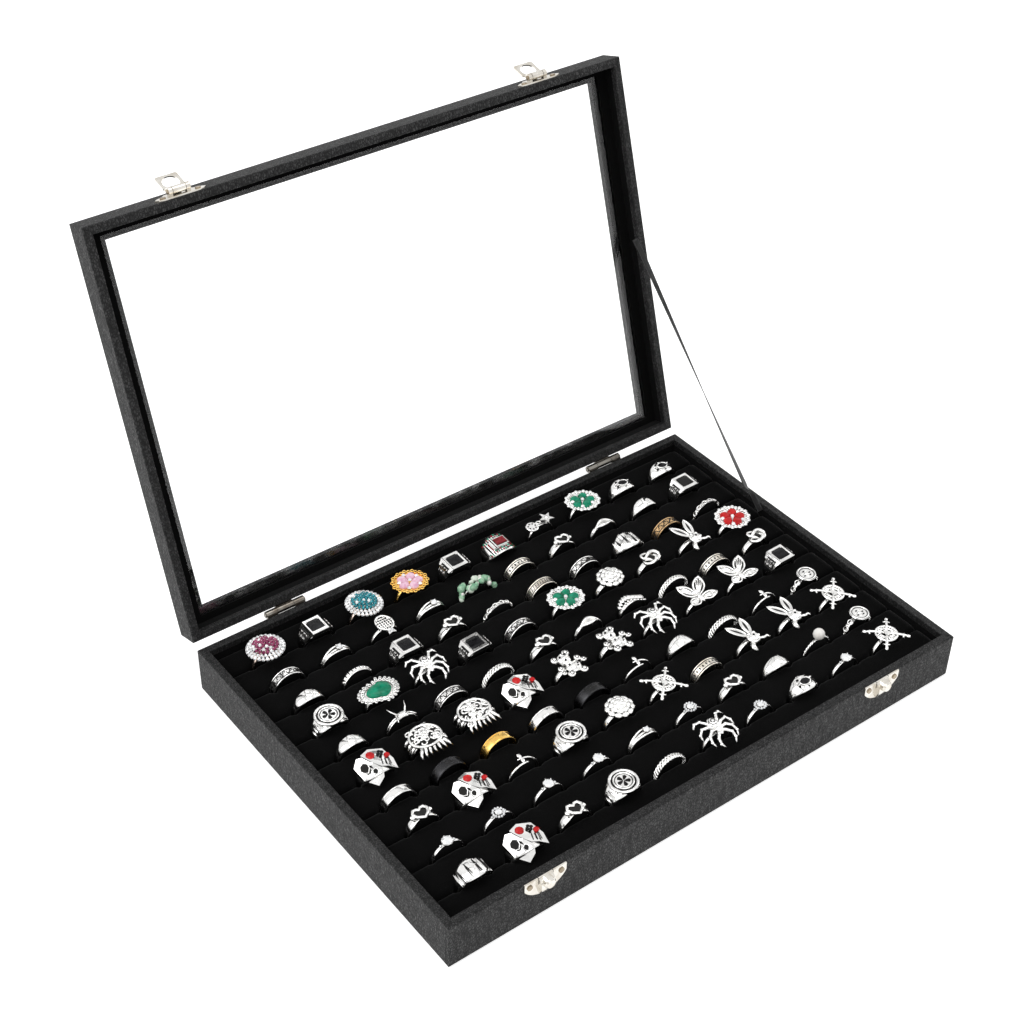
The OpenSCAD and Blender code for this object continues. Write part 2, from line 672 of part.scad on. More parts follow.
base_front_board();
base_back_board();
base_left_board();
base_right_board();
base_bottom_panel();
base_underside_sheet();
base_wrap();
base_liner();
insert_card();
foam_bar_01();
foam_bar_02();
foam_bar_03();
foam_bar_04();
foam_bar_05();
foam_bar_06();
foam_bar_07();
foam_bar_08();
foam_bar_09();
foam_bar_10();
foam_bar_11();
display_rings_01_02();
display_rings_03_04();
display_rings_05_06();
display_rings_07_08();
display_rings_09_10();
catch_left();
catch_right();
catch_nails_left();
catch_nails_right();
hinge_base_leaf_left();
hinge_base_leaf_right();
hinge_pin_left();
hinge_pin_right();
hinge_base_nails_left();
hinge_base_nails_right();
stay_patch_base();
stay_ribbon();
lid_front_board();
lid_back_board();
lid_left_board();
lid_right_board();
lid_top_panel();
lid_wrap();
lid_liner();
glass_pane();
glass_retainer();
hinge_lid_leaf_left();
hinge_lid_leaf_right();
hinge_lid_nails_left();
hinge_lid_nails_right();
hasp_plate_left();
hasp_plate_right();
hasp_pin_left();
hasp_pin_right();
hasp_nails_left();
hasp_nails_right();
stay_patch_lid();
hasp_loop_left();
hasp_loop_right();
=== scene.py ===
"""Looks of the glass-lidded ring display box: velvet bars, stay ribbon, display rings,
materials, studio and camera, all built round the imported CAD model.

Lengths in the helpers below are millimetres. MM turns them into Blender's metres.
"""

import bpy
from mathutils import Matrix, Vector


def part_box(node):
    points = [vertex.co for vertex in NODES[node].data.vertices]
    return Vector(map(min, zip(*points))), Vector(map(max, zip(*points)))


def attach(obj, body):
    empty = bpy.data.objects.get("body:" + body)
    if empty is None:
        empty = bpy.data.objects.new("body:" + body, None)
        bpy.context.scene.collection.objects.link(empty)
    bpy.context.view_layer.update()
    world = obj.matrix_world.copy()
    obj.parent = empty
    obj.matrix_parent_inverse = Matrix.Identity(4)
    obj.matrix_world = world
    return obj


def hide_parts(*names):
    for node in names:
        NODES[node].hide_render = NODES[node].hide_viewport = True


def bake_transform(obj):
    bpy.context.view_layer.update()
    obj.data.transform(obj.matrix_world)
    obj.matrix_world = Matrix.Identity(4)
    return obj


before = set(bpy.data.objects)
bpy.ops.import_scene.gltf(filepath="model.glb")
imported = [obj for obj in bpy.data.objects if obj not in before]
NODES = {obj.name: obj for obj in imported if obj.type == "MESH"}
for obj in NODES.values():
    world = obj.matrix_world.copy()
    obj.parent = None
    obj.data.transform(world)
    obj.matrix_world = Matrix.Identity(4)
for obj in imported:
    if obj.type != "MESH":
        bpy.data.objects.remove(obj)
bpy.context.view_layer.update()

import copy
import random
from math import atan2, cos, degrees, exp, hypot, pi, radians, sin, sqrt, tau

import bmesh
import bpy
from mathutils import Matrix, Vector

MM = 0.001


def node_box(name):
    """Lowest and highest corner of a CAD node at rest, in millimetres."""
    low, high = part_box(name)
    return Vector(low) / MM, Vector(high) / MM


# ---- materials


class Graph:
    """A node tree, with short calls for the nodes in it."""

    def __init__(self, tree):
        self.tree = tree

    def fill(self, socket, value):
        """Gives a socket a constant or a link."""
        if isinstance(value, bpy.types.NodeSocket):
            self.tree.links.new(value, socket)
        elif socket.type == "RGBA" and len(value) == 3:
            socket.default_value = (*value, 1.0)
        else:
            socket.default_value = value

    def node(self, kind, options=None, **inputs):
        """Adds a shader node. options are its properties; inputs are its sockets, i0 the first."""
        made = self.tree.nodes.new("ShaderNode" + kind)
        for key, value in (options or {}).items():
            setattr(made, key, value)
        for key, value in inputs.items():
            numbered = key[0] == "i" and key[1:].isdigit()
            self.fill(made.inputs[int(key[1:]) if numbered else key.replace("_", " ")], value)
        return made

    def maths(self, operation, first, second, kind="Math"):
        """One sum on two numbers, or on two vectors where kind is VectorMath."""
        return self.node(kind, {"operation": operation}, i0=first, i1=second).outputs[0]

    def ramp(self, value, low, high, start=0.0, end=1.0):
        """Maps a value from low..high to start..end, held at the ends."""
        limits = {"From_Min": low, "From_Max": high, "To_Min": start, "To_Max": end}
        return self.node("MapRange", {"clamp": True}, Value=value, **limits).outputs["Result"]

    def seen(self):
        """1 for rays from the camera, through glass or off a shiny surface, and 0 for the rest."""
        ray = self.node("LightPath").outputs
        straight = self.maths("MAXIMUM", ray["Is Camera Ray"], ray["Is Transmission Ray"])
        return self.maths("MAXIMUM", straight, ray["Is Glossy Ray"])


class Finish(Graph):
    """A Principled material. Patterns follow the object's own coordinates, in metres."""

    def __init__(self, name, **settings):
        self.material = bpy.data.materials.new(name)
        self.material.use_nodes = True
        super().__init__(self.material.node_tree)
        self.shader = self.tree.nodes["Principled BSDF"]
        self.place = self.node("TexCoord").outputs["Object"]
        for key, value in settings.items():
            self.set(key, value)

    def set(self, key, value):
        """Fills one of the shader's own sockets."""
        self.fill(self.shader.inputs[key.replace("_", " ")], value)

    def noise(self, scale, detail=3.0, place=None, roughness=0.5, output="Fac"):
        """Cloudy noise, with scale in cells per metre."""
        return self.node("TexNoise", Scale=scale, Detail=detail, Roughness=roughness,
                         Vector=place or self.place).outputs[output]

    def warped(self, scale, amount):
        """The coordinates, pushed about by noise of that size in metres."""
        cloud = self.noise(scale, 2.0, output="Color")
        centred = self.maths("SUBTRACT", cloud, (0.5, 0.5, 0.5), "VectorMath")
        pushed = self.maths("MULTIPLY", centred, (amount, amount, amount), "VectorMath")
        return self.maths("ADD", pushed, self.place, "VectorMath")

    def stretched(self, x, y, z, place=None):
        """The coordinates, scaled unevenly so that a pattern turns into streaks."""
        return self.node("Mapping", Scale=(x, y, z), Vector=place or self.place).outputs[0]

    def colour(self, factor, first, second):
        """Colours the shader between two colours."""
        mix = self.node("Mix", {"data_type": "RGBA"}, i0=factor, i6=first, i7=second)
        self.set("Base Color", mix.outputs[2])

    def bump(self, height, distance, strength=1.0):
        """Feeds the shader's normal from a height of that size in metres."""
        made = self.node("Bump", Height=height, Distance=distance, Strength=strength)
        self.set("Normal", made.outputs["Normal"])


def scaled(shade, factor):
    return tuple(channel * factor for channel in shade)


def leatherette(name, shade):
    """Black pebble-grained covering: small plump cells with creases and a fine pore, coloured with a
    painted highlight on the cells and painted shade in the creases.
    """
    pebbles, wrinkles, pores = 920.0, 480.0, 3600.0  # per metre
    made = Finish(name)
    place = made.stretched(1.0, 1.0, 0.45, made.warped(520.0, 0.0011))
    edge = made.node("TexVoronoi", {"feature": "DISTANCE_TO_EDGE"}, Scale=pebbles, Vector=place)
    pebble = made.ramp(edge.outputs["Distance"], 0.0, 0.3)
    wrinkle = made.noise(wrinkles, 4.0, made.stretched(1.0, 1.0, 0.3), 0.6)
    pore = made.noise(pores, 2.0)
    tone = made.maths("MULTIPLY", pebble, made.ramp(wrinkle, 0.35, 0.65, 0.25, 1.0))
    made.set("Specular IOR Level", made.ramp(tone, 0.0, 1.0, 0.12, 0.46))
    # painted light: the colour follows the grain's height, lighter on the pebbles' tops as a painted
    # highlight and darker in the creases and wrinkles as painted shade
    made.colour(tone, scaled(shade, 0.5), scaled(shade, 1.8))
    made.set("Roughness", made.ramp(tone, 0.0, 1.0, 0.6, 0.42))
    rise = made.maths("ADD", made.maths("MULTIPLY", tone, 0.8), made.maths("MULTIPLY", pore, 0.16))
    made.bump(rise, 0.00034)
    return made.material


def velvet(name, shade):
    """Black pile: no gloss, a slight sheen and patches where the nap lies differently."""
    made = Finish(name, Roughness=0.95, Sheen_Weight=0.06, Sheen_Roughness=0.42)
    made.set("Specular IOR Level", 0.06)
    nap = made.noise(34.0)
    tuft = made.noise(2600.0, 3.0, None, 0.7)
    tone = made.maths("MULTIPLY", made.ramp(nap, 0.3, 0.7, 0.6, 1.0), made.ramp(tuft, 0.3, 0.75))
    made.colour(tone, scaled(shade, 0.45), scaled(shade, 1.5))
    made.bump(tuft, 0.00018, 0.7)
    return made.material


def metal(name, shade, smooth, scratch, dull=None):
    """Polished or brushed metal with faint scratches and slight tarnish."""
    made = Finish(name, Metallic=1.0)
    tarnish = made.noise(140.0, 4.0)
    fine = made.noise(2400.0, 3.0, made.stretched(0.25, 1.0, 1.0))
    made.colour(made.ramp(tarnish, 0.42, 0.72), shade, dull or scaled(shade, 0.78))
    made.set("Roughness", made.ramp(fine, 0.3, 0.75, smooth, smooth + scratch))
    made.bump(fine, 0.00002, 0.2)
    return made.material


def stone(name, shade, light, veins, glint=0.0, polish=0.12):
    """A cut or cast stone: deep colour with paler clouds under a hard polish."""
    made = Finish(name, Coat_Weight=polish, Coat_Roughness=0.03, Roughness=0.14, Metallic=glint)
    made.set("Specular IOR Level", 1.4 * polish)
    cloud = made.noise(veins, 5.0, made.warped(420.0, 0.0016))
    made.colour(made.ramp(cloud, 0.35, 0.7), shade, light)
    made.bump(cloud, 0.00004, 0.3)
    return made.material


def fibre(name, shade, light, scale):
    """Board, card or felt: mottled short fibres."""
    made = Finish(name, Roughness=0.9)
    speck = made.noise(scale, 4.0, made.stretched(1.0, 0.35, 1.0), 0.65)
    made.colour(made.ramp(speck, 0.3, 0.72), shade, light)
    made.bump(speck, 0.0001, 0.6)
    return made.material


def woven_tape(name, shade, light):
    """Grosgrain ribbon: fine ribs across its length, black with a painted sheen on the ribs' crests."""
    made = Finish(name, Roughness=0.62, Sheen_Weight=0.3, Sheen_Roughness=0.35)
    rib = made.node("TexWave", {"bands_direction": "DIAGONAL"}, Scale=900.0, Distortion=0.6,
                    Detail=1.0, Vector=made.place).outputs["Fac"]
    thread = made.noise(3000.0, 2.0)
    # painted sheen: the black tape is coloured lighter on its ribs' crests and darker between them, broken
    # up by the thread noise
    made.colour(made.maths("MULTIPLY", rib, thread), shade, light)
    made.bump(rib, 0.00012, 0.6)
    return made.material


def window_glass(name):
    """Clear sheet glass with a faint smear of dust."""
    made = Finish(name, Transmission_Weight=1.0, IOR=1.45)
    dust = made.noise(60.0, 5.0, None, 0.7)
    made.colour(made.ramp(dust, 0.4, 0.7), (1.0, 1.0, 1.0), (0.985, 0.992, 0.99))
    made.set("Roughness", made.ramp(dust, 0.45, 0.85, 0.0, 0.02))
    return made.material


LEATHER = leatherette("black_leatherette", (0.018, 0.018, 0.0183))
VELVET = velvet("black_velvet", (0.0017, 0.0017, 0.0018))
BOARD = fibre("grey_board", (0.20, 0.17, 0.13), (0.34, 0.30, 0.24), 900.0)
CARD = fibre("insert_card", (0.05, 0.05, 0.05), (0.09, 0.09, 0.085), 1400.0)
FELT = fibre("underside_felt", (0.010, 0.010, 0.011), (0.028, 0.028, 0.030), 2200.0)
# the lighter of the two colours is the painted sheen on the ribs
RIBBON = woven_tape("black_ribbon", (0.012, 0.012, 0.012), (0.045, 0.045, 0.046))
GLASS = window_glass("clear_glass")
NICKEL = metal("nickel_plate", (0.75, 0.725, 0.675), 0.14, 0.12, (0.56, 0.51, 0.43))
STEEL = metal("hinge_steel", (0.26, 0.245, 0.22), 0.10, 0.10, (0.12, 0.10, 0.08))
NAIL = metal("nail_plate", (0.36, 0.30, 0.22), 0.22, 0.14, (0.18, 0.14, 0.09))

FINISHES = {  # the first words of a node's name, and what covers it; the first match counts
    ("base_wrap", "lid_wrap"): LEATHER,
    ("base_liner", "lid_liner", "glass_retainer", "foam_bar"): VELVET,
    ("base_underside",): FELT,
    ("insert_card",): CARD,
    ("glass_pane",): GLASS,
    ("stay_",): RIBBON,
    ("catch_nails", "hasp_nails", "hinge_base_nails", "hinge_lid_nails", "hasp_pin"): NAIL,
    ("hinge_",): STEEL,
    ("catch_", "hasp_", "display_rings"): NICKEL,
    ("base_", "lid_"): BOARD,
}
for name, piece in NODES.items():
    finish = next(finish for starts, finish in FINISHES.items() if name.startswith(starts))
    for slot in piece.material_slots:
        slot.material = finish

# ---- mesh building


class Shape:
    """Collects vertices and faces, in millimetres, for one mesh of several materials."""

    def __init__(self):
        self.points, self.faces, self.looks = [], [], []
        self.at = Matrix.Identity(4)

    def loft(self, rings, look="silver", closed=False, smooth=True):
        """Skins a row of closed outlines. closed joins the last to the first."""
        start, count, sides = len(self.points), len(rings), len(rings[0])
        faces = []
        for k in range(count if closed else count - 1):
            a, b = k * sides, (k + 1) % count * sides
            faces += [(a + i, a + (i + 1) % sides, b + (i + 1) % sides, b + i) for i in range(sides)]
        if not closed:
            faces += [tuple(reversed(range(sides))), tuple(range((count - 1) * sides, count * sides))]
        self.points += [self.at @ Vector(point) for ring in rings for point in ring]
        self.faces += [tuple(start + i for i in face) for face in faces]
        self.looks += [(look, smooth)] * len(faces)

    def finish(self, name, looks):
        """Makes the object, with outward faces."""
        mesh = bpy.data.meshes.new(name)
        mesh.from_pydata([p * MM for p in self.points], [], self.faces)
        used = sorted({look for look, _ in self.looks})
        for look in used:
            mesh.materials.append(looks[look])
        for face, (look, smooth) in zip(mesh.polygons, self.looks):
            face.material_index, face.use_smooth = used.index(look), smooth
        work = bmesh.new()
        work.from_mesh(mesh)
        bmesh.ops.recalc_face_normals(work, faces=work.faces)
        work.to_mesh(mesh)
        work.free()
        made = bpy.data.objects.new(name, mesh)
        bpy.context.collection.objects.link(made)
        return made


# ---- velvet bars

CARD_TOP = node_box("insert_card")[1].z
BARS = [node_box(f"foam_bar_{n:02d}") for n in range(1, 12)]
INSERT_TOP = BARS[0][1].z
SLITS = [(front[1].y + back[0].y) / 2 for front, back in zip(BARS, BARS[1:])]
BAR_INSET, BAR_TOP_INSET = Vector((0.05, 0.02, 0.0)), Vector((0.05, 0.02, 0.05))
BAR_ROUND, BAR_CROWN = 2.7, 0.35  # radius of its long edges, and how far its top bulges
BAR_STATIONS, FLANK_STEPS, CORNER_STEPS = 230, 7, 4
BAR_FALL, BAR_SWAY = 0.8, 0.10  # how far its ends drop, and how uneven its top is
BAND_MIDDLE, BAND_HALF = 9.8, 0.9  # radius to the middle of a ring's band, and half its thickness
DENT_FADE, DENT_GAP = 2.4, 0.15  # how far a dent runs out past the band, and its gap to the band
DENT_SHARE = 2.6  # 1 over the share of the bar's depth that a dent takes


def squeeze(x, z, bands):
    """How far the rings' bands push a bar's side back at this place."""
    most = 0.0
    for centre, half, rise in bands:
        gap = abs(hypot(x - centre, z - INSERT_TOP - rise) - BAND_MIDDLE)
        fade = min(1.0, max(0.0, gap - BAND_HALF) / DENT_FADE)
        most = max(most, (half + DENT_GAP) * (1 - fade) ** 1.6)
    return most


def dented(share):
    """How much of a dent is left at this share of the bar's depth."""
    return max(0.0, 1 - share * DENT_SHARE) ** 1.3


def bar_section(top, depth):
    """A bar's outline from its front foot over the top to its back foot, as depth and height."""
    flank = top - BAR_ROUND - CARD_TOP
    front = [(0.0, CARD_TOP + 0.05 + k * flank / FLANK_STEPS) for k in range(FLANK_STEPS + 1)]
    for k in range(1, CORNER_STEPS + 1):
        turn = radians(90 * k / CORNER_STEPS)
        front.append((BAR_ROUND * (1 - cos(turn)), top - BAR_ROUND * (1 - sin(turn))))
    front = [(y, z - BAR_CROWN * 0.5 * (y < BAR_ROUND)) for y, z in front]
    crown = [(depth * t, top - BAR_CROWN * (2 * t - 1) ** 2) for t in (0.3, 0.5, 0.7)]
    return front + crown + [(depth - y, z) for y, z in reversed(front)]


def velvet_bar(number, front_bands, back_bands):
    """One foam bar under velvet, crowned on top and dented where bands stand in its slits."""
    low, high = BARS[number - 1]
    low, high = low + BAR_INSET, high - BAR_TOP_INSET
    depth = high.y - low.y
    section = bar_section(high.z, depth)
    rings = []
    for k in range(BAR_STATIONS + 1):
        x = low.x + (high.x - low.x) * k / BAR_STATIONS
        pinch = max(0.0, 1 - min(k, BAR_STATIONS - k) / 2.0) * BAR_FALL
        ring = []
        for y, z in section:
            near, far = squeeze(x, z, front_bands), squeeze(x, z, back_bands)
            share = y / depth
            push = near * dented(share) - far * dented(1 - share)
            sway = BAR_SWAY * sin(x * 0.043 + number * 1.7) * sin(pi * share)
            fall = pinch * (z > high.z - BAR_ROUND - 0.1)
            ring.append((x, low.y + y + push, z + sway * (z > high.z - 1.0) - fall))
        rings.append(ring)
    shape = Shape()
    shape.loft(rings, "velvet")
    made = shape.finish(f"velvet_bar_{number:02d}", {"velvet": VELVET})
    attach(made, "tray")
    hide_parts(f"foam_bar_{number:02d}")


# ---- stay ribbon

RIBBON_WIDTH, RIBBON_THICK = 5.0, 0.45
STAY_TURN = radians(-60.0)
STAY_FOOT, STAY_TOP = (33.0, 24.5), (164.0, 154.0)  # y and z of its ends
STAY_FLAT, STAY_TWISTED, STAY_END = 9.0, 19.0, 14.0  # flat start, end of its quick twist, flat end
STAY_PAD = 0.3  # thickness of the pad between the tape and the tray's lining
STAY_EDGE = ((1, 0.6), (0.96, 1), (0.5, 0.75), (0, 0.7), (-0.5, 0.75), (-0.96, 1), (-1, 0.6))
STAY_STATIONS = 90


def stay_angle(s, length):
    """How far the tape has turned at a distance from the tray's wall."""
    if s < STAY_FLAT:
        return 0.0
    if s < STAY_TWISTED:
        t = (s - STAY_FLAT) / (STAY_TWISTED - STAY_FLAT)
        return STAY_TURN * t * t * (3 - 2 * t)
    return STAY_TURN * (1 - min(1.0, (s - STAY_TWISTED) / (length - STAY_TWISTED - STAY_END)))


def stay_ribbon():
    """A taut tape from the tray's wall to the lid's, flat at both ends and turned between."""
    wall = node_box("stay_patch_base")[1].x - STAY_PAD - RIBBON_THICK / 2
    along = Vector((0.0, STAY_TOP[0] - STAY_FOOT[0], STAY_TOP[1] - STAY_FOOT[1]))
    length = along.length
    along.normalize()
    side = Vector((0.0, -along.z, along.y))
    half, thick = RIBBON_WIDTH / 2, RIBBON_THICK / 2
    rings = []
    for k in range(STAY_STATIONS + 1):
        s = k / STAY_STATIONS * length
        turn = stay_angle(s, length)
        flat = side * cos(turn) + Vector((1.0, 0.0, 0.0)) * sin(turn)
        out = flat.cross(along)
        centre = Vector((wall - half * abs(sin(turn)), *STAY_FOOT)) + along * s
        section = [(-u, -v) for u, v in STAY_EDGE] + list(STAY_EDGE)
        rings.append([centre + flat * half * u + out * thick * v for u, v in section])
    shape = Shape()
    shape.loft(rings, "tape")
    made = shape.finish("stay_tape", {"tape": RIBBON})
    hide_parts("stay_ribbon")
    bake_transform(made)


# ---- outlines and frames

BAND_IN, BAND_OUT = 9.2, 10.4


def turns(count):
    """Angles that share out a full turn."""
    return [tau * k / count for k in range(count)]


def about(angle, radius, side=0.0):
    """A point round the finger, at an angle from the top in radians."""
    return (radius * sin(angle), side, radius * cos(angle))


def swell(angle):
    """1 at the top of the band, falling to 0 a quarter turn away."""
    return max(0.0, cos(radians(min(90, angle))))


def oval(wide, deep, count=24, turn=0.0, x=0.0, y=0.0):
    """An ellipse as points, counted from its right end."""
    return [(x + wide * cos(turn + a), y + deep * sin(turn + a)) for a in turns(count)]


def circle(radius, count=24, x=0.0, y=0.0):
    return oval(radius, radius, count, 0.0, x, y)


def oblong(wide, deep):
    """A rectangle, from its half width and half depth."""
    return [(-wide, -deep), (wide, -deep), (wide, deep), (-wide, deep)]


def leaf_outline(length, width, count=7):
    """A leaf pointing along +Y from the origin."""
    edge = [(width / 2 * sin(pi * k / count) ** 0.8, length * k / count) for k in range(1, count)]
    return [(0.0, 0.0)] + edge + [(0.0, length)] + [(-x, y) for x, y in reversed(edge)]


def shift(x, y, z):
    return Matrix.Translation((x, y, z))


def turned(angle, axis="Z"):
    return Matrix.Rotation(radians(angle), 4, axis)


def on_band(angle, radius=BAND_OUT, side=0.0, spin=0.0):
    """A frame on the band: x along it, z outwards, at an angle from the top in degrees."""
    return shift(*about(radians(angle), radius, side)) @ turned(angle, "Y") @ turned(spin)


# ---- what a ring is made from


class Ring(Shape):
    """One display ring. Its band stands in the XZ plane round the origin, with its head up."""

    def __init__(self, rng):
        super().__init__()
        self.rng = rng

    def on(self, place):
        """The same ring, for drawing in a frame of its own."""
        other = copy.copy(self)
        other.at = self.at @ place
        return other

    def spot(self, *place, **more):
        """The same ring, for drawing on its band."""
        return self.on(on_band(*place, **more))

    def grow(self, factor):
        """Enlarges what is added from here on, about the top of the band."""
        centre = shift(0, 0, 10.0)
        self.at = self.at @ centre @ Matrix.Scale(factor, 4) @ centre.inverted()

    def tube(self, path, radius, sides=6, look="silver", closed=False):
        """A round bar along points; radius is a number or a function of 0..1."""
        path = [Vector(p) for p in path]
        count, rings, normal = len(path), [], None
        for k, p in enumerate(path):
            ahead = path[(k + 1) % count] if closed or k + 1 < count else p
            behind = path[k - 1] if closed or k else p
            way = (ahead - behind).normalized()
            if normal is None:
                normal = way.orthogonal().normalized()
            normal = (normal - way * normal.dot(way)).normalized()
            other = way.cross(normal)
            r = radius(k / (count - 1)) if callable(radius) else radius
            rings.append([p + (normal * cos(a) + other * sin(a)) * r for a in turns(sides)])
        self.loft(rings, look, closed)

    def wire(self, outline, height, radius, sides=6, look="silver"):
        """A closed wire along a flat outline."""
        self.tube([(x, y, height) for x, y in outline], radius, sides, look, True)

    def bead(self, centre, radius, stretch=(1, 1, 1), steps=5, sides=8, look="silver", smooth=True):
        """A ball or pebble."""
        rings = []
        for k in range(steps + 1):
            a = pi * (0.04 + 0.92 * k / steps)
            rings.append([Vector(centre) + radius * Vector((
                sin(a) * cos(b) * stretch[0], sin(a) * sin(b) * stretch[1], -cos(a) * stretch[2]
            )) for b in turns(sides)])
        self.loft(rings, look, smooth=smooth)

    def gem(self, centre, wide, look="clear", deep=None, high=0.5, sides=8):
        """A faceted stone with a flat table, half sunk below its girdle."""
        cx, cy, cz = centre
        rings = []
        for scale, z in ((0.25, -0.7), (1.0, -0.12), (1.0, 0.05), (0.58, 0.62)):
            facets = oval(wide * scale, (deep or wide) * scale, sides, pi / sides, cx, cy)
            rings.append([(x, y, cz + z * high * 2) for x, y in facets])
        self.loft(rings, look, smooth=False)

    def plate(self, outline, low, high, edge=0.2, dome=0.0, look="silver", smooth=False):
        """A flat cut-out with bevelled top edges, or a domed one."""
        cx = sum(x for x, _ in outline) / len(outline)
        cy = sum(y for _, y in outline) / len(outline)
        reach = max(hypot(x - cx, y - cy) for x, y in outline)
        steps = [(1, low), (1, high - edge), (1 - edge / reach, high)]
        if dome:
            steps += [(s, high + dome * (1 - s * s)) for s in (0.8, 0.55, 0.25)]
        rings = [[(cx + (x - cx) * s, cy + (y - cy) * s, z) for x, y in outline] for s, z in steps]
        self.loft(rings, look, smooth=smooth)

    def panel(self, points, drop, rise):
        """A plate with a free-form top, as thick as drop, swelling by rise in the middle."""
        middle = sum((Vector(p) for p in points), Vector()) / len(points)
        rings = [[(x, y, z - drop) for x, y, z in points], points]
        for share in (0.82, 0.5):
            lift = Vector((0, 0, rise * (1 - share * share)))
            rings.append([middle.lerp(Vector(p), share) + lift for p in points])
        self.loft(rings, smooth=False)

    def lathe(self, profile, sides=24):
        """A turned form, from a row of radii and heights."""
        self.loft([[(x, y, z) for x, y in circle(r, sides)] for r, z in profile])

    def band(self, half, out=BAND_OUT, crown=0.2, look="silver"):
        """The hoop. half and out are numbers or functions of the angle from the top."""
        rings = []
        for a in turns(56):
            from_top = degrees(min(a, tau - a))
            h = half(from_top) if callable(half) else half
            r = out(from_top) if callable(out) else out
            edge = [(BAND_IN, h * 0.8), (BAND_IN + 0.15, h), (r - crown, h), (r - crown * 0.35, h * 0.7)]
            section = [(q, -y) for q, y in reversed(edge[:2])] + edge + [(r, 0.0)]
            section += [(q, -y) for q, y in reversed(edge[2:])]
            rings.append([about(a, q, y) for q, y in section])
        self.loft(rings, look, True)

    def rim(self, side, radius, thick, look="silver"):
        """A round wire along the band's edge."""
        self.tube([about(a, radius, side) for a in turns(48)], thick, 6, look, True)

    def studs(self, motif, count, reach, radius):
        """Repeats a motif along the band's upper part, out to reach degrees each way."""
        for k in range(count):
            motif(self.spot(-reach + 2 * reach * (k + 0.5) / count, radius), k)


# ---- the kinds of ring


def plain(ring, look="silver", half=2.7):
    """A wide smooth band with wires along its edges."""
    ring.band(half, BAND_OUT, 0.14, look)
    for side in (-1, 1):
        ring.rim(side * (half - 0.25), BAND_OUT - 0.22, 0.26, look)


def satin(ring):
    """A black band with a few engraved strokes at the top."""
    plain(ring, "black", 3)
    for k in range(5):
        ring.spot(-12 + 6 * k).plate(oval(0.35, 0.9, 8, 0.4 * k), -0.1, 0.06, 0.03, look="dark")


RELIEF_MARKS = {"strokes": 17, "curls": 13, "lozenges": 12}


def relief(ring, style, look="antique"):
    """A flat band with raised rims and dark marks cut between them."""
    half = 2.8
    ring.band(half, BAND_OUT - 0.12, 0.1, look)
    for side in (-1, 1):
        ring.rim(side * (half - 0.35), BAND_OUT - 0.3, 0.45, look)
        ring.rim(side * (half - 1), BAND_OUT - 0.36, 0.38, "dark")

    def mark(spot, k):
        flip = 1 if k % 2 else -1
        if style == "curls":
            curl = [(0.8 * cos(t), flip * (0.9 * sin(t) + 0.3), 0) for t in (0, 0.8, 1.6, 2.4, 3.2, 4)]
            spot.tube(curl, 0.32, 5, "dark")
            return
        cuts = [[(-0.55, -1.2), (-0.1, -1.2), (0.55, 1.2), (0.1, 1.2)]]
        if style == "lozenges":
            small = [(0.65, flip * 0.5), (0.9, flip * 0.9), (1.15, flip * 0.5), (0.9, flip * 1.3)]
            cuts = [[(-0.6, 0), (0, -1.1), (0.6, 0), (0, 1.1)], small]
        for cut in cuts:
            spot.plate(cut, -0.3, 0.1, 0.05, look="dark")

    ring.studs(mark, RELIEF_MARKS[style], 80, BAND_OUT - 0.16)


def double(ring):
    """Two slim hoops that part at the top round a small stone."""
    for way in (-1, 1):
        path = []
        for a in turns(48):
            from_top = degrees(min(a, tau - a))
            path.append(about(a, 9.9, way * (0.8 + 1.3 * exp(-((from_top / 42) ** 2)))))
        ring.tube(path, 0.68, 7, closed=True)
    ring.band(0.6, 10.1)
    collet(ring.spot(8), 2)


def collet(ring, wide, prongs=4):
    """A round clear stone held by claws."""
    high = 0.9
    ring.lathe([(wide * 0.5, -0.6), (wide * 0.95, high * 0.6), (wide * 1.04, high)], 12)
    ring.gem((0, 0, high + 0.25), wide * 0.92)
    for x, y in oval(wide, wide, prongs, pi / prongs):
        claw = [(x * 0.75, y * 0.75, -0.5), (x, y, high * 0.7), (x * 0.92, y * 0.92, high + 0.75)]
        ring.tube(claw, 0.26, 5)


def solitaire(ring, wide=3, halo=False):
    """A slim band rising to one stone in claws, with or without a circle of small ones."""
    ring.band(lambda t: 0.75 + 0.35 * min(1, t / 90), 10.2, 0.25)
    collet(ring.spot(0, 10.6), wide, 6)
    for way in (-1, 1):
        ring.spot(way * 22, 10.2).gem((0, 0, 0.3), 0.8)
    if halo:
        for x, y in circle(wide + 1.1, 12):
            ring.gem((x, y, 11), 0.72)


def twist(ring):
    """A band plaited from three round wires."""
    wide = 1.5
    for start in turns(3):
        path = []
        for a in turns(96):
            turn = a * 11 + start
            path.append(about(a, 9.9 + 0.45 * cos(turn), wide * sin(turn)))
        ring.tube(path, 0.6, closed=True)
    # painted shade: a black core band under the wires, seen in the gaps between them
    ring.band(wide * 0.6, 9.7, 0.1, "dark")


def chain(ring, deepen=1):
    """Flat links along the top of a plain hoop."""
    ring.band(0.8, 9.6, 0.1)

    def link(spot, k):
        wide, deep = (1.5, 1.25) if k % 2 else (1.35, 0.7)
        spot.wire(oval(wide, deep * deepen, 12), 0.2 * (k % 2), 0.36, 5)

    ring.studs(link, 13, 86, 10)


def wave(ring):
    """Smooth bands that cross in a slow wave at the top."""
    count = 56
    for way in (-1, 1):
        path = []
        for k, a in enumerate(turns(count)):
            from_top = min(k, count - k)
            side = way * 1.5 * cos(a * 3) * exp(-((from_top / 12) ** 2)) + way * 0.3
            x, _, z = about(a, 9.9)
            path.append((x, side, z + 0.3 * way * exp(-((from_top / 6) ** 2))))
        ring.tube(path, lambda t: 0.62 + 0.55 * abs(2 * t - 1) ** 4, 8, closed=True)
    ring.band(1, 9.9)


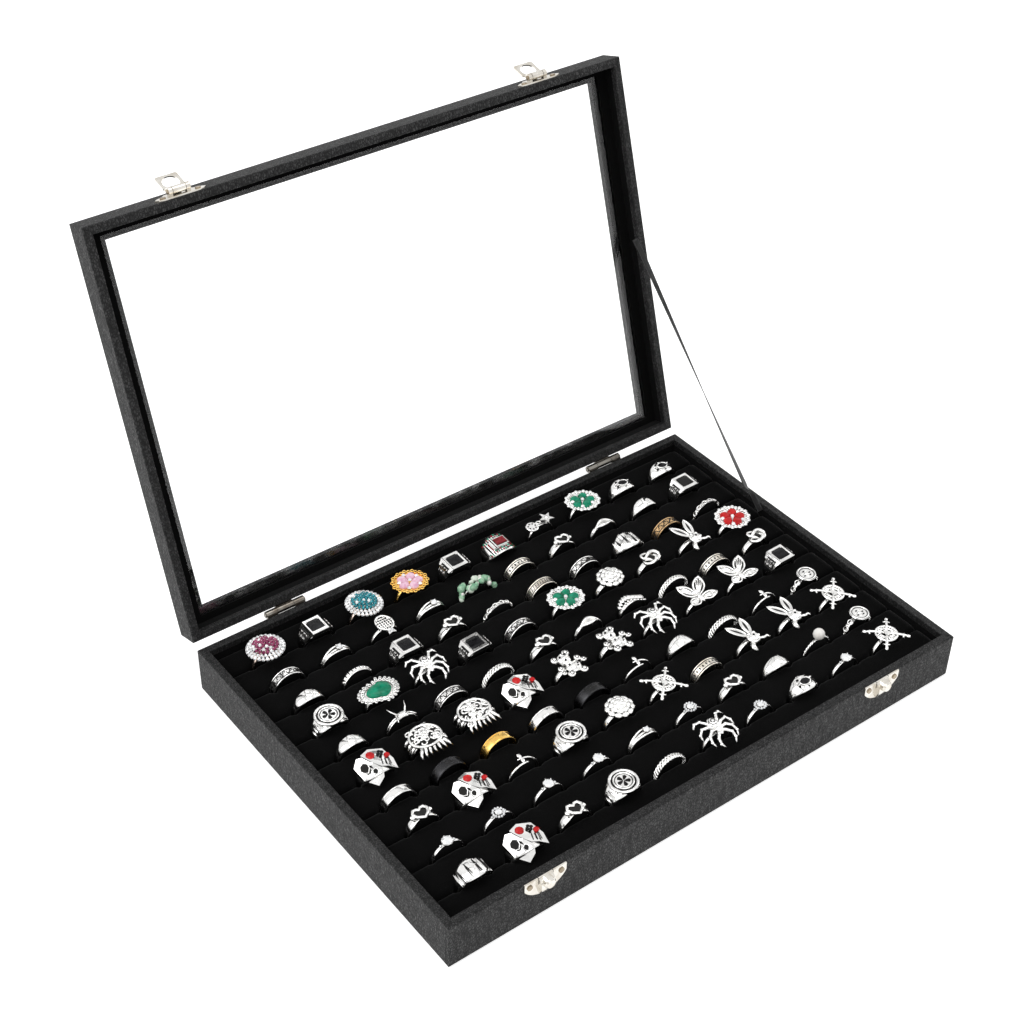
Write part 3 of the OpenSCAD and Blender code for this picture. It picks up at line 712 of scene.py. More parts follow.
def dome(ring, top="stone", wide=5.6, high=1.5):
    """A band that swells into a dome with an oval stone, engraving or a polished boss on top."""
    ring.band(lambda t: 1.6 + (wide - 1.6) * swell(t) ** 1.6,
              lambda t: BAND_OUT - 0.1 + high * swell(t * 1.15), 0.9)
    ground = BAND_OUT + high - 0.15
    if top == "stone":
        ring.wire(oval(3.4, 2.5), ground + 0.05, 0.45)
        ring.plate(oval(3.1, 2.2), ground - 0.3, ground + 0.25, 0.25, 0.5, "onyx", True)
        for k, (x, y) in enumerate(oval(4.9, 3.7, 10, 0.3)):
            ring.bead((x, y, ground - 0.55), 0.85, (1.2, 0.8, 0.5), 4, 7, "dark" if k % 2 else "silver")
    elif top == "engraved":
        petal = [(-0.55, -wide * 0.72), (0.1, -0.4), (0.55, -wide * 0.72), (0.75, 0.5),
                 (0.2, wide * 0.7), (-0.6, 0.8)]
        for k in range(9):
            angle = -48 + 12 * k
            spot = ring.spot(angle, BAND_OUT + high * cos(radians(angle * 1.15)) - 0.25)
            spot.plate(petal, -0.2, 0.28, 0.14, look="dark" if k % 2 else "silver")
        star = [(-2.6, 0), (-0.7, -0.8), (0, -3), (0.7, -0.8), (2.6, 0), (0.7, 0.8), (0, 3), (-0.7, 0.8)]
        ring.spot(0, ground).plate(star, -0.2, 0.5)
    else:
        ring.plate(oval(2.2, 3.2), ground - 0.3, ground + 0.2, 0.25, 0.5, smooth=True)


def signet(ring, gem_look="onyx"):
    """Square shoulders under a flat top with a long step-cut stone."""
    top, wide, deep = 12.6, 5.4, 6.1
    ring.band(lambda t: 1.9 + 2.6 * swell(t), BAND_OUT, 0.15)
    for way in (-1, 1):
        shoulder = []
        for x, half, z in ((9.9, 2.2, 3), (9.3, 3.4, 6.2), (7.8, 4.9, 9.8), (wide, deep, top)):
            inner, outer = way * (x - 2), way * x
            shoulder.append([(outer, -half, z), (outer, half, z), (inner, half, z), (inner, -half, z)])
        ring.loft(shoulder, smooth=False)
        scroll_panel(ring.on(shift(way * 8.2, 0, 9.35) @ turned(way * 59, "Y")))

    def steps(look, *levels):
        rings = [[(x, y, z) for x, y in oblong(wide * p, deep * q)] for p, q, z in levels]
        ring.loft(rings, look, smooth=False)

    steps("silver", (1, 1, 10.2), (1, 1, top), (0.96, 0.96, top + 0.35), (0.87, 0.70, top + 0.35),
          (0.86, 0.69, top - 0.2))
    # painted shade: a black block under the frame's edge, seen in the gap round the stone
    steps("dark", (0.87, 0.70, top - 0.8), (0.87, 0.70, top - 0.1))
    steps(gem_look, (0.78, 0.60, top - 0.6), (0.78, 0.60, top + 0.1), (0.66, 0.44, top + 0.4),
          (0.6, 0.36, top + 0.42))


def scroll_panel(ring):
    """A small dark panel with raised curls."""
    wide, deep, curls = 2.7, 3.1, 5
    ring.plate(oblong(wide, deep), -0.3, 0.25, 0.1, look="dark")
    for k in range(curls):
        y = -deep + deep * 2 * (k + 0.5) / curls
        reach = wide * 0.7 * (1 if k % 2 else -1)
        curl = [(reach * cos(t), y + 0.6 * sin(t), 0.32) for t in (0, 0.7, 1.4, 2.1, 2.8, 3.6, 4.4)]
        ring.tube(curl, 0.24, 5)


def cluster(ring, inner):
    """A wide domed rosette of small stones on a wire gallery."""
    ring.band(0.95, 10.2, look="rose")
    for x, y in circle(1, 22):
        spoke = [(x * reach, y * reach, z) for reach, z in ((3, 10.2), (6.4, 11.4), (9.8, 12))]
        ring.tube(spoke, 0.3, 5, "rose")
    for count, reach, size, z in ((27, 10.1, 1.05, 12.2), (24, 8.4, 1, 13.2), (19, 6.7, 1.1, 14.1),
                                  (14, 4.9, 1.15, 14.8), (9, 3.1, 1.15, 15.3), (5, 1.4, 0.95, 15.6)):
        ring.wire(circle(reach, 27), z - 0.5, 0.4, 5, "rose")
        tier = inner if reach < 8 else "clear"
        for turn in turns(count):
            look = tier if ring.rng.random() < 0.85 else "clear"
            here = ring.on(Matrix.Rotation(turn + reach, 4, "Z") @ shift(reach, 0, z)
                           @ Matrix.Rotation(reach / 22, 4, "Y"))
            here.gem((0, 0, 0), size * (1.35 if reach > 9 else 1), look, size, 0.55, 6)
            here.bead((0.9, 0.95, 0.1), 0.3, steps=3, sides=5)


def petals(ring, petal="emerald", look="silver", beaded=True):
    """Five pointed stones as a blossom inside a scalloped border."""
    ring.band(1.1, 10.2, look=look)
    wide, deep, z = 10.3, 9.2, 12
    ring.plate(oval(wide - 0.6, deep - 0.6, 32), z - 1.2, z - 0.3, 0.3, look=look)
    for k, point in enumerate(oval(wide, deep, 28)):
        x, y = (c * (1 + 0.035 * cos(k * pi)) for c in point)
        ring.wire(circle(0.95, 8, x, y), z + 0.1, 0.38, 5, look)
        if beaded:
            ring.gem((x, y, z), 0.7, high=0.4, sides=6)
            ring.bead((x * 0.84, y * 0.84, z), 0.5, steps=3, sides=6)
    outline = [(0, 0), (1.9, 1.9), (2.8, 4.2), (1.6, 6.1), (0, 6.7), (-1.6, 6.1), (-2.8, 4.2), (-1.9, 1.9)]
    for k in range(5):
        out = Matrix.Diagonal((1.08, 0.98, 1, 1)) @ turned(36 + 72 * k) @ shift(0, 0.9, z)
        ring.on(out).plate(outline, -0.3, 0.9, 0.6, 0.5, petal)
    for k in range(5):
        ring.on(turned(72 * k) @ shift(0, 6.4, z)).gem((0, 0, 0.4), 1.25)
    ring.gem((0, 0, z + 1.2), 1.2)


def teardrop(ring):
    """A big drop-shaped stone in a double row of open beads."""
    ring.band(1.2, 10.2)
    ring.grow(1.12)

    def drop(scale, z=0):
        made = []
        for a in turns(24):
            long, broad = (1.15, 0.75) if cos(a) > 0 else (0.95, 0.92)
            made.append((-scale * 1.15 * cos(a) * long, scale * sin(a) * broad, z))
        return made

    z = 12.2
    ring.loft([drop(8, z - 1), drop(8, z - 0.4), drop(5, z - 0.2)])
    ring.loft([drop(5.5, z - 0.5), drop(5.5, z + 0.4), drop(4.9, z + 1.1), drop(3.4, z + 1.6),
               drop(1.2, z + 1.7)], "emerald")
    for scale, size, sides, height, thick in ((7.1, 0.75, 8, 0.1, 0.32), (8.6, 0.6, 7, -0.2, 0.28)):
        for x, y, _ in drop(scale):
            ring.wire(circle(size, sides, x, y), z + height, thick, 5)


def deco(ring):
    """A broad tapered saddle set with rows of tiny stones round a square cabochon."""
    ring.band(lambda t: 2.4 + 5.4 * swell(t) ** 0.7, lambda t: BAND_OUT + 1.6 * swell(t), 0.4)
    tile = oblong(0.5, 0.6)
    for row, side in enumerate((-6.7, -4.9, 4.9, 6.7)):
        for k in range(15):
            angle = -49 + 7 * k
            spot = ring.spot(angle, BAND_OUT + 1.5 * cos(radians(angle)), side * (1 - abs(angle) / 180))
            spot.plate(tile, -0.3, 0.16, 0.1, look=("garnet", "emerald", "onyx")[(k + row) % 3])
    for angle in (-42, -33, 33, 42):
        for side in (-3.2, -1.6, 0, 1.6, 3.2):
            spot = ring.spot(angle, BAND_OUT + 1.3, side * (1 - abs(angle) / 150))
            spot.plate(tile, -0.3, 0.1, 0.1, look="garnet" if abs(angle) < 40 else "onyx")
    ring.plate(oblong(4.6, 3.4), 11, 12.5, 0.3)
    ring.plate(oblong(4.6 * 0.88, 3.4 * 0.86), 12.3, 12.6, 0.1, look="dark")
    ring.plate(oblong(4.6 * 0.78, 3.4 * 0.76), 12.3, 13.2, 0.4, look="garnet")


def chips(ring):
    """Tumbled stone chips and small pearls strung along the band."""
    ring.band(0.5, 9.9, 0.1)
    draw, count = ring.rng.uniform, 30
    for k in range(count):
        side, size = draw(-3.4, 3.4), draw(1.5, 2.6)
        look = ring.rng.choice(("jade", "jade", "jade_pale", "pearl"))
        round_bead = look == "pearl"
        stretch = (0.7, 0.7, 0.7) if round_bead else (draw(0.8, 1.3), draw(0.7, 1.1), draw(0.6, 0.9))
        spot = ring.spot(-70 + 140 * k / (count - 1), 10.6 + draw(0, 1.6), side, draw(0, 180))
        spot.bead((0, 0, 0), size, stretch, 5, 7, look, round_bead)


def lattice(ring):
    """An open oval with a woven grid, on a short neck."""
    ring.band(0.9, 10.1)
    z = 12.2
    ring.wire(oval(5, 5.8, y=1), z, 0.62)
    for k in range(-2, 3):
        share = sqrt(1 - (k / 3.1) ** 2)
        for along, across in (((k * 1.6, 1, z), (0, 5.4 * share, 0)),
                              ((0, 1 + k * 1.8, z + 0.1), (4.7 * share, 0, 0))):
            ring.tube([Vector(along) - Vector(across), Vector(along) + Vector(across)], 0.3, 5)
    ring.plate([(-1.8, -4.2), (1.8, -4.2), (2.6, -8.2), (0, -7.2), (-2.6, -8.2)], z - 1.5, z - 0.2, 0.3)
    for x, y in ((-1, -6), (1, -6), (0, -5)):
        ring.gem((x, y, z), 0.7)


SPIDER_LEGS = (
    ((1.2, 0.8, 0), (3.4, 4.4, 1.3), (5.6, 7.8, 1.2), (8.4, 8.8, 0.2), (10.4, 7, -1)),
    ((1.4, 0.2, 0), (4.4, 2, 1.5), (8, 3, 1), (10.4, 1.2, -0.6), (10.8, -1.8, -2.2)),
    ((1.4, -0.8, 0), (4.8, -1.2, 1.4), (7.6, -3.2, 0.6), (8.6, -6.4, -1), (7.4, -9.2, -2.8)),
    ((0.9, -1.8, 0), (2.4, -4.4, 1), (4.6, -6.8, 0.4), (5, -9.6, -1.4), (3.4, -12, -3)),
)


def spider(ring):
    """A long-legged spider: ringed body, small head, eight curved legs round the finger."""
    ring.band(0.9, 10)
    z = 12.2
    ring.bead((0.4, 4, z + 0.2), 3.4, (1, 1.1, 0.7), 6, 14)
    for reach, high in ((2.3, 1.75), (1.2, 2.3)):
        ring.wire(circle(reach, 14, 0.4, 4), z + high, 0.3, look="dark")
    ring.bead((0, -0.8, z), 2.2, (1, 1.2, 0.7), 5, 10)
    ring.bead((0, -3.6, z - 0.1), 1.5, (1, 1, 0.6))
    for way in (-1, 1):
        for leg in SPIDER_LEGS:
            path = [(way * x, y, z + up) for x, y, up in leg]
            ring.tube(path, lambda t: 1.05 - 0.35 * t, 7)
            for joint in path[1:4]:
                ring.bead(joint, 1.12, (1, 1, 0.85), 4, 7)


def butterfly(ring):
    """Two pairs of veined wings spread along the finger."""
    ring.band(0.9, 10)
    ring.grow(1.2)
    z = 11.6
    ring.bead((0, 0, z + 0.4), 1.4, (0.9, 3.2, 0.8), 6, 8)
    ring.bead((0, 2.6, z + 1), 1.9, (1, 1, 0.7), 5, 10)
    for way in (-1, 1):
        for length, angle, width in ((10.5, 38, 5.4), (8, 112, 4.6)):
            root = shift(way * 0.6, 1 if angle < 90 else -1, z)
            wing = ring.on(root @ turned(-way * angle) @ turned(14, "X"))
            outline = leaf_outline(length, width, 8)
            wing.plate(outline, -0.25, 0, 0.1, look="dark")
            wing.wire(outline, 0, 0.55)
            for k in range(1, 5):
                spread = (k - 2.5) / 2.5 * width * 0.42
                vein = [(0, 0.4, 0), (spread * 0.8, length * 0.45, 0.1), (spread, length * 0.8, 0)]
                wing.tube(vein, 0.42, 5)
            for k in range(-2, 3):
                tip = (k / 2 * width * 0.3, length * (0.93 - abs(k) * 0.1), 0)
                wing.bead(tip, 0.62, (1, 1, 0.6), 4, 6)
        feeler = [(way * 0.3, 3.4, z + 0.6), (way * 1.3, 5.6, z + 0.9), (way * 2.2, 6.4, z + 0.5)]
        ring.tube(feeler, 0.26, 5)


def sprig(ring):
    """Two long leaves rising from a round bud, with a curled stem."""
    ring.band(1.2, 10)
    z = 12
    for way, lean, length in ((-1, 36, 13.5), (1, -10, 13)):
        leaf = ring.on(shift(way * 1.2, 0.6, z) @ turned(lean) @ turned(8, "X"))
        outline = leaf_outline(length, 4.6, 8)
        leaf.plate(outline, -0.35, 0.25, 0.3, 0.25, smooth=True)
        leaf.wire(outline, 0.25, 0.42)
        leaf.plate([(x * 0.32, 2.4 + y * 0.62) for x, y in outline], 0.2, 0.5, 0.1, look="dark")
    ring.bead((0.3, -2.2, z), 4.2, (1.05, 1.1, 0.62), 6, 10)
    for x, y in oval(2.6, 2.8, 5, 0.9, 0.3, -2.2):
        ring.bead((x, y, z + 1.7), 1.4, (1, 0.8, 0.5), 4, 7)
    ring.gem((0.3, -2.2, z + 2.3), 0.9, "onyx")
    ring.tube([(2.4, -4.2, z), (5.4, -5.8, z + 0.4), (7.6, -5, z), (9, -6.4, z - 1)], 0.9, 7)
    ring.tube([(-2.4, -5, z - 0.5), (-4.2, -7.6, z - 1.2), (-3.2, -9.6, z - 2.4)], 1.6, 8)


def blossom(ring):
    """A plump posy: one large bud and rounder petals and berries about it."""
    ring.band(1.4, 10)
    z = 12
    ring.bead((-1.2, 3.6, z + 0.6), 4.2, (1, 1, 0.62), 7, 14)
    ring.bead((0.6, -3.4, z), 4.4, (1.1, 1, 0.55), 7, 14)
    for x, y, size in ((-5.6, 6.2, 2.5), (3, 7.6, 2.5), (-6.4, -1, 2.1), (6.4, 1.2, 2.2),
                       (8.8, -1.6, 1.9), (-3.6, -7.2, 2.5), (4.4, -8, 2.6), (-6.6, -4.4, 1.6)):
        ring.bead((x, y, z), size, (1, 1, 0.68), 5, 10)
        ring.wire(circle(size * 0.5, 10, x, y), z + size * 0.58, 0.24, 5, "dark")
    for k, (x, y) in enumerate(circle(2.3, 7)):
        first, second = "dark" if k % 2 else "silver", "silver" if k % 3 else "dark"
        ring.bead((x - 1.2, y + 3.6, z + 2.8), 0.8, (1, 1, 0.7), 3, 6, first)
        ring.bead((x * 1.1 + 0.6, y - 3.4, z + 2.2), 0.6, (1, 1, 0.7), 3, 6, second)


SHIELD_LEFT = ((-9.8, 5.4, 8.2), (-6.4, 8.4, 10.6), (-3, 6, 12.6), (-1.6, 0, 13),
               (1.8, -4.6, 12), (0, -8.6, 9), (-4.2, -10, 6), (-8.8, -3.4, 6.4))
SHIELD_RIGHT = ((-4.4, 7.6, 12.8), (1.2, 9.4, 12.6), (8.4, 6.6, 11.6), (10.4, -1.2, 10.2),
                (9, -8, 9.6), (4.4, -5.4, 11.8), (1, -4.2, 12.6), (-2.4, 1, 13.2))
HOLLOW = ((0, -1), (0.8, -0.4), (1, 0.4), (0.4, 1), (-0.5, 0.9), (-1, 0.2), (-0.6, -0.6))


def shield(ring):
    """Overlapping polished plates with hollows of painted shade, red stones and a dark quatrefoil."""
    ring.band(lambda t: 2.2 + 4.6 * swell(t) ** 0.9, lambda t: BAND_OUT + 0.8 * swell(t), 0.5)
    ring.panel(SHIELD_LEFT, 2.4, 0.7)
    leaning = ring.on(shift(-4.9, -1.4, 11) @ turned(-32, "Y") @ turned(20, "X"))
    for x, y, size in ((-1.2, 1.4, 1), (2, -3.6, 0.6)):
        hollow = [(x + p * 2.6 * size, y + q * 2.9 * size) for p, q in HOLLOW]
        # painted shade: black plates fill the hollows, inside their silver rims
        leaning.plate(hollow, -1.2, 0.75, 0.15, look="dark")
        leaning.wire(hollow, 0.7, 0.28, 5)
    ring.panel(SHIELD_RIGHT, 1.8, 0.5)
    for x, y in ((0, 1.2), (1.2, 0), (0, -1.2), (-1.2, 0)):
        ring.bead((x + 5.2, y + 3.6, 12.9), 1.05, (1, 1, 0.4), 4, 8, "enamel")
    for k in range(3):
        bar = [(2.6 + 2.2 * k, -3.4 - 0.7 * k, 12.5 - 0.6 * k), (4 + 2 * k, 0.2, 12.6 - 0.5 * k)]
        ring.tube(bar, 0.26, 5, "dark")
    ring.gem((0, 5, 13), 2.4, "ruby", None, 0.7, 10)
    ring.gem((8, 1.4, 11.9), 1.7, "ruby")


def scrollwork(ring):
    """A broad pierced dome of curling wires with branches down its sides."""
    ring.band(1.6, 10)
    ring.grow(1.2)
    draw = ring.rng.uniform

    def lift(x, y):
        return (x, y, 9.4 + 3.6 * (1 - (x * x + y * y) / 150))

    for _ in range(34):
        cx, cy, size, start = draw(-6.4, 6.4), draw(-5.8, 5.8), draw(1.2, 2.3), draw(0, 6)
        way = ring.rng.choice((-1, 1))
        path = []
        for j in range(9):
            t, r = start + way * j * 0.62, size * (1 - j / 13)
            path.append(lift(cx + r * cos(t), cy + r * sin(t)))
        ring.tube(path, 0.5, 5)
    ring.tube([lift(x, y) for x, y in oval(7.6, 6.4, 28)], 0.75, closed=True)
    # painted shade: a black core under the pierced dome, seen through its openings
    ring.bead((0, 0, 10), 5.6, (1.25, 1.05, 0.42), 5, 14, "dark")
    for k in range(7):
        x = -7 + 14 * k / 6
        branch = [lift(x * 0.8, -5.6), (x * 1.02, -7.6, 10.2), (x * 1.1 + 0.5, -9.4, 8.4)]
        ring.tube(branch, lambda t: 0.85 - 0.3 * t)
    for k in range(3):
        for way in (-1, 1):
            ring.tube([(way * 6, -2 + 2.5 * k, 11.2), (way * 8.2, -2.4 + 2.6 * k, 9.8),
                       (way * 9.4, -3.2 + 2.8 * k, 6.8)], 0.75)


def round_signet(ring):
    """Ribbed shoulders and a round top with a rosette in black enamel."""
    ring.band(lambda t: 2.4 + 4.4 * swell(t), lambda t: BAND_OUT + 0.5 * (t < 70), 0.3)
    for way in (-1, 1):
        for k in range(4):
            angle, deep = way * (36 + 11 * k), 5.6 - 0.7 * k
            rib, groove = ring.spot(angle, BAND_OUT - 0.1), ring.spot(angle + way * 5.5, BAND_OUT - 0.2)
            rib.tube([(0, -deep, -0.6), (0.5, 0, 0.6), (0, deep, -0.6)], 0.7)
            groove.tube([(0, -deep, -0.3), (0.5, 0, 0.4), (0, deep, -0.3)], 0.34, 5, "dark")
    ring.grow(1.28)
    z = 11.8
    ring.lathe([(5.6, 9.6), (6.3, z - 0.4), (6.5, z), (6.2, z + 0.3), (5.4, z + 0.3), (5.3, z)])
    ring.plate(circle(5.3), z - 0.4, z + 0.08, 0.05, look="enamel")
    ring.wire(circle(4.2), z + 0.15, 0.42)
    ring.plate(circle(3.5, 20), z - 0.2, z + 0.3, 0.1)
    petal = [(0, 0), (0.55, 0.9), (0.9, 2.3), (0, 2.8), (-0.9, 2.3), (-0.55, 0.9)]
    for turn in turns(5):
        out = ring.on(Matrix.Rotation(turn + 0.4, 4, "Z") @ shift(0, 0.2, z + 0.2))
        out.plate(petal, -0.1, 0.3, 0.1, look="enamel")


def compass(ring):
    """A pierced disc crossed by four long rays, with a raised wedge in the middle."""
    ring.band(1, 10)
    z = 12
    ring.wire(circle(6.2), z, 0.75)
    ring.wire(circle(3.6), z + 0.3, 0.55)
    for k in range(4):
        ray = ring.on(turned(45 + 90 * k))
        ray.tube([(0, 1.5, z + 0.4), (0, 5.5, z + 0.6), (0, 9, z + 0.3), (0, 12.2, z - 0.4)], 0.85, 7)
        ray.bead((0, 12.2, z - 0.4), 1.3, (0.9, 1.2, 0.8))
        ray.tube([(-1.9, 9.4, z), (0, 9.8, z + 0.4), (1.9, 9.4, z)], 0.55)
        for x in (-2.9, 2.9):
            ray.wire(oval(1.6, 1.2, 10, 0, x, 3.8), z + 0.4, 0.5, 5)
    ring.plate([(-2.6, -2.4), (3, -1.8), (0.2, 3)], z, z + 1.1, 0.5)


def wire_wrap(ring):
    """Two wires bound together by a coil, with loose pointed ends."""
    for side in (-0.7, 0.7):
        ring.rim(side, 9.9, 0.55)
    coil = []
    for k in range(60):
        here = on_band(-17 + 34 * k / 59, 10)
        coil.append(here @ Vector((0, 2.1 * cos(k * 0.75), 1.4 * sin(k * 0.75))))
    ring.tube(coil, 0.5)
    for way in (-1, 1):
        for tip in (-1, 1):
            end = [(way * 2.6, tip * 0.5, 11.4), (way * 4.4, tip * 3, 12.4), (way * 5.6, tip * 6, 13)]
            ring.tube(end, lambda t: 0.62 - 0.4 * t)


def pearl(ring):
    """A pearl in a cup on a band of two twisted wires."""
    for way in (0, pi):
        path = []
        for k, a in enumerate(turns(84)):
            turn = k * 1.2 + way
            path.append(about(a, 9.85 + 0.4 * cos(turn), 0.5 * sin(turn)))
        ring.tube(path, 0.5, 5, closed=True)
    ring.bead((0, 0, 13.2), 3.5, (1, 1, 1), 8, 16, "pearl")
    ring.lathe([(0.9, 9.9), (2, 10.8), (2.6, 11.8)], 14)


def coin(ring):
    """A round medal with a beaded edge, hung on flat links."""
    chain(ring, 1.3)
    z = 11.8
    ring.plate(circle(5.9, 28), z - 0.8, z + 0.1)
    ring.wire(circle(5.2, 28), z + 0.15, 0.5)
    ring.wire(circle(4.4), z + 0.05, 0.26, look="dark")
    for k, (x, y) in enumerate(circle(2.3, 7)):
        ring.bead((x, y, z + 0.15), 0.7, (1.2, 0.7, 0.5), 3, 6, "silver" if k % 2 else "dark")
    ring.bead((0, 0, z + 0.1), 1.3, (1, 1, 0.5))


def peony(ring):
    """A round head of ruffled petals."""
    ring.band(1.4, 10)
    ring.grow(1.3)
    z = 12
    # painted shade: a black core under the petals, seen in the gaps between them
    ring.bead((0, 0, z - 0.4), 5.4, (1.1, 1, 0.42), 6, 16, "dark")
    tiers = ((11, 5.6, 0), (8, 3.8, 0.9), (5, 2, 1.6), (1, 0, 2))
    for turn, (count, reach, high) in enumerate(tiers):
        for x, y in oval(reach, reach * 0.9, count, turn):
            outwards = Matrix.Rotation(atan2(y, x) if reach else pi, 4, "Z")
            petal = ring.on(shift(x, y, z + high) @ outwards @ Matrix.Rotation(0.5, 4, "Y"))
            petal.bead((0, 0, 0), 1.7, (0.8, 1.1, 0.5), 4)


def crown(ring):
    """A curved row of plumes along the finger."""
    ring.band(1.2, 10.1)
    for k in range(11):
        angle, side = -50 + 10 * k, 1.6 * sin(k * 0.62)
        plume = leaf_outline(4.6 - abs(k - 5) * 0.25, 2.2)
        ring.spot(angle, 10.8, side, 24).plate(plume, -0.5, 0.35, 0.25, 0.2, smooth=True)
        ring.spot(angle, 10.9, side - 1.1).bead((0, 0, 0), 0.7, (1, 1, 0.6), 4, 7)


def bypass(ring):
    """An open hoop whose tapered ends pass each other."""
    for way in (-1, 1):
        path = []
        for k in range(30):
            angle, t = way * (180 - 6.6 * k), k / 29
            path.append(about(radians(angle), 9.9 + 0.5 * t ** 3, way * (0.2 + 1.9 * t ** 2)))
        ring.tube(path, lambda t: 1 - 0.55 * t ** 2, 8)
        tip = ring.spot(way * 4, 10.6, way * 1.9, 20 * way)
        tip.plate(leaf_outline(3.8, 2.4), -0.4, 0.5, 0.3, 0.3, smooth=True)


def open_head(ring):
    """Smooth shoulders that meet in a small heart-like frame round a hollow filled with painted shade."""
    ring.band(lambda t: 1.1 + 1.2 * max(0, sin(radians(min(180, 2 * t)))), 10.3, 0.3)
    ring.grow(1.35)
    z = 11.2
    right = [(2.4, -1.2), (3.3, 0.8), (2.4, 2.4), (0.9, 2.4)]
    heart = [(0, -3)] + right + [(0, 1.5)] + [(-x, y) for x, y in reversed(right)]
    # painted shade: a black plate fills the hollow inside the heart
    ring.plate([(x * 0.8, y * 0.8) for x, y in heart], z - 1.2, z - 0.2, look="dark")
    ring.wire(heart, z, 0.72, 7)
    for way in (-1, 1):
        ring.bead((way * 3.7, 0.2, z - 0.6), 1.3, (1, 1, 0.7), 4, 8)


def leaves(ring):
    """Small leaves in pairs along the band."""
    ring.band(0.7, 10)

    def pair(spot, _):
        for way in (-1, 1):
            leaf = spot.on(Matrix.Rotation(way * 0.9, 4, "Z"))
            leaf.plate(leaf_outline(3, 1.5, 5), -0.2, 0.3, 0.2, 0.15, smooth=True)

    ring.studs(pair, 9, 62, 10.1)


def star_charm(ring):
    """A small disc and a forked star joined by a link."""
    ring.band(0.9, 10)
    ring.grow(1.25)
    z = 11.4
    ring.plate(circle(3.2, 20, -6.6, -1), z - 0.4, z + 0.4, 0.25)
    for x, y in circle(1.9, 7, -6.6, -1):
        ring.bead((x, y, z + 0.4), 0.5, (1, 1, 0.5), 3, 6, "dark")
    ring.wire(oval(1.4, 0.8, 10, 0, -2.2), z, 0.36, 5)
    star = []
    for k, a in enumerate(turns(10)):
        reach = 4.4 if k % 2 else 1.9
        star.append((3.2 + reach * cos(a), 0.6 + reach * sin(a)))
    ring.plate(star, z - 0.5, z + 0.5, 0.4)
    ring.bead((3.2, 0.6, z + 0.4), 1.2, (1, 1, 0.7))


def knot(ring):
    """A love knot of thick smooth coils."""
    ring.band(1.6, 10.1, 0.3)
    path = []
    for a in turns(56):
        t, pull = 2 * a, cos(3 * a)
        path.append(((4.4 + 1.7 * pull) * cos(t), (3.6 + 1.5 * pull) * sin(t), 11.6 + 1.1 * sin(3 * a)))
    ring.tube(path, 1.05, 8, closed=True)
    # painted shade: a black pad under the coils, seen through the knot's loops
    ring.bead((0, 0, 11), 2.4, (1.3, 1, 0.5), look="dark")


# ---- the rings' places

RING_LOOKS = {
    "silver": metal("ring_silver", (0.89, 0.885, 0.87), 0.08, 0.08),
    "antique": metal("ring_antique", (0.90, 0.87, 0.80), 0.16, 0.14, (0.68, 0.62, 0.52)),
    # dark: matte black for the rings' black parts, and painted shade where some designs fill gaps, hollows
    # and openings with it
    "dark": fibre("ring_black_and_painted_shade", (0.003, 0.003, 0.003), (0.012, 0.011, 0.010), 1800.0),
    "gold": metal("ring_gold", (0.95, 0.62, 0.18), 0.14, 0.10, (0.80, 0.46, 0.10)),
    "copper": metal("ring_copper", (0.62, 0.42, 0.22), 0.2, 0.14, (0.30, 0.17, 0.08)),
    "rose": metal("ring_rose", (0.88, 0.72, 0.62), 0.14, 0.10),
    "black": metal("ring_black", (0.045, 0.045, 0.048), 0.2, 0.16, (0.03, 0.03, 0.03)),
    "clear": stone("gem_clear", (0.86, 0.88, 0.90), (1.0, 1.0, 1.0), 900.0, 0.45),
    "purple": stone("gem_purple", (0.16, 0.020, 0.065), (0.46, 0.11, 0.22), 700.0, 0.35),
    "teal": stone("gem_teal", (0.008, 0.14, 0.18), (0.08, 0.44, 0.50), 700.0, 0.35),
    "pink": stone("gem_pink", (0.80, 0.40, 0.58), (1.0, 0.78, 0.88), 500.0),
    "emerald": stone("gem_emerald", (0.001, 0.15, 0.075), (0.01, 0.36, 0.20), 240.0),
    "ruby": stone("gem_ruby", (0.42, 0.004, 0.006), (0.72, 0.02, 0.02), 260.0),
    "garnet": stone("gem_garnet", (0.16, 0.006, 0.010), (0.34, 0.02, 0.03), 500.0),
    "onyx": stone("gem_onyx", (0.004, 0.004, 0.005), (0.014, 0.014, 0.016), 300.0, polish=0.08),
    "enamel": stone("black_enamel", (0.003, 0.003, 0.003), (0.010, 0.010, 0.010), 600.0, polish=0.08),
    "jade": stone("chip_jade", (0.16, 0.40, 0.24), (0.50, 0.72, 0.52), 420.0),
    "jade_pale": stone("chip_pale", (0.55, 0.68, 0.55), (0.86, 0.90, 0.82), 420.0),
    "pearl": stone("pearl", (0.86, 0.83, 0.78), (0.96, 0.95, 0.92), 300.0),
}

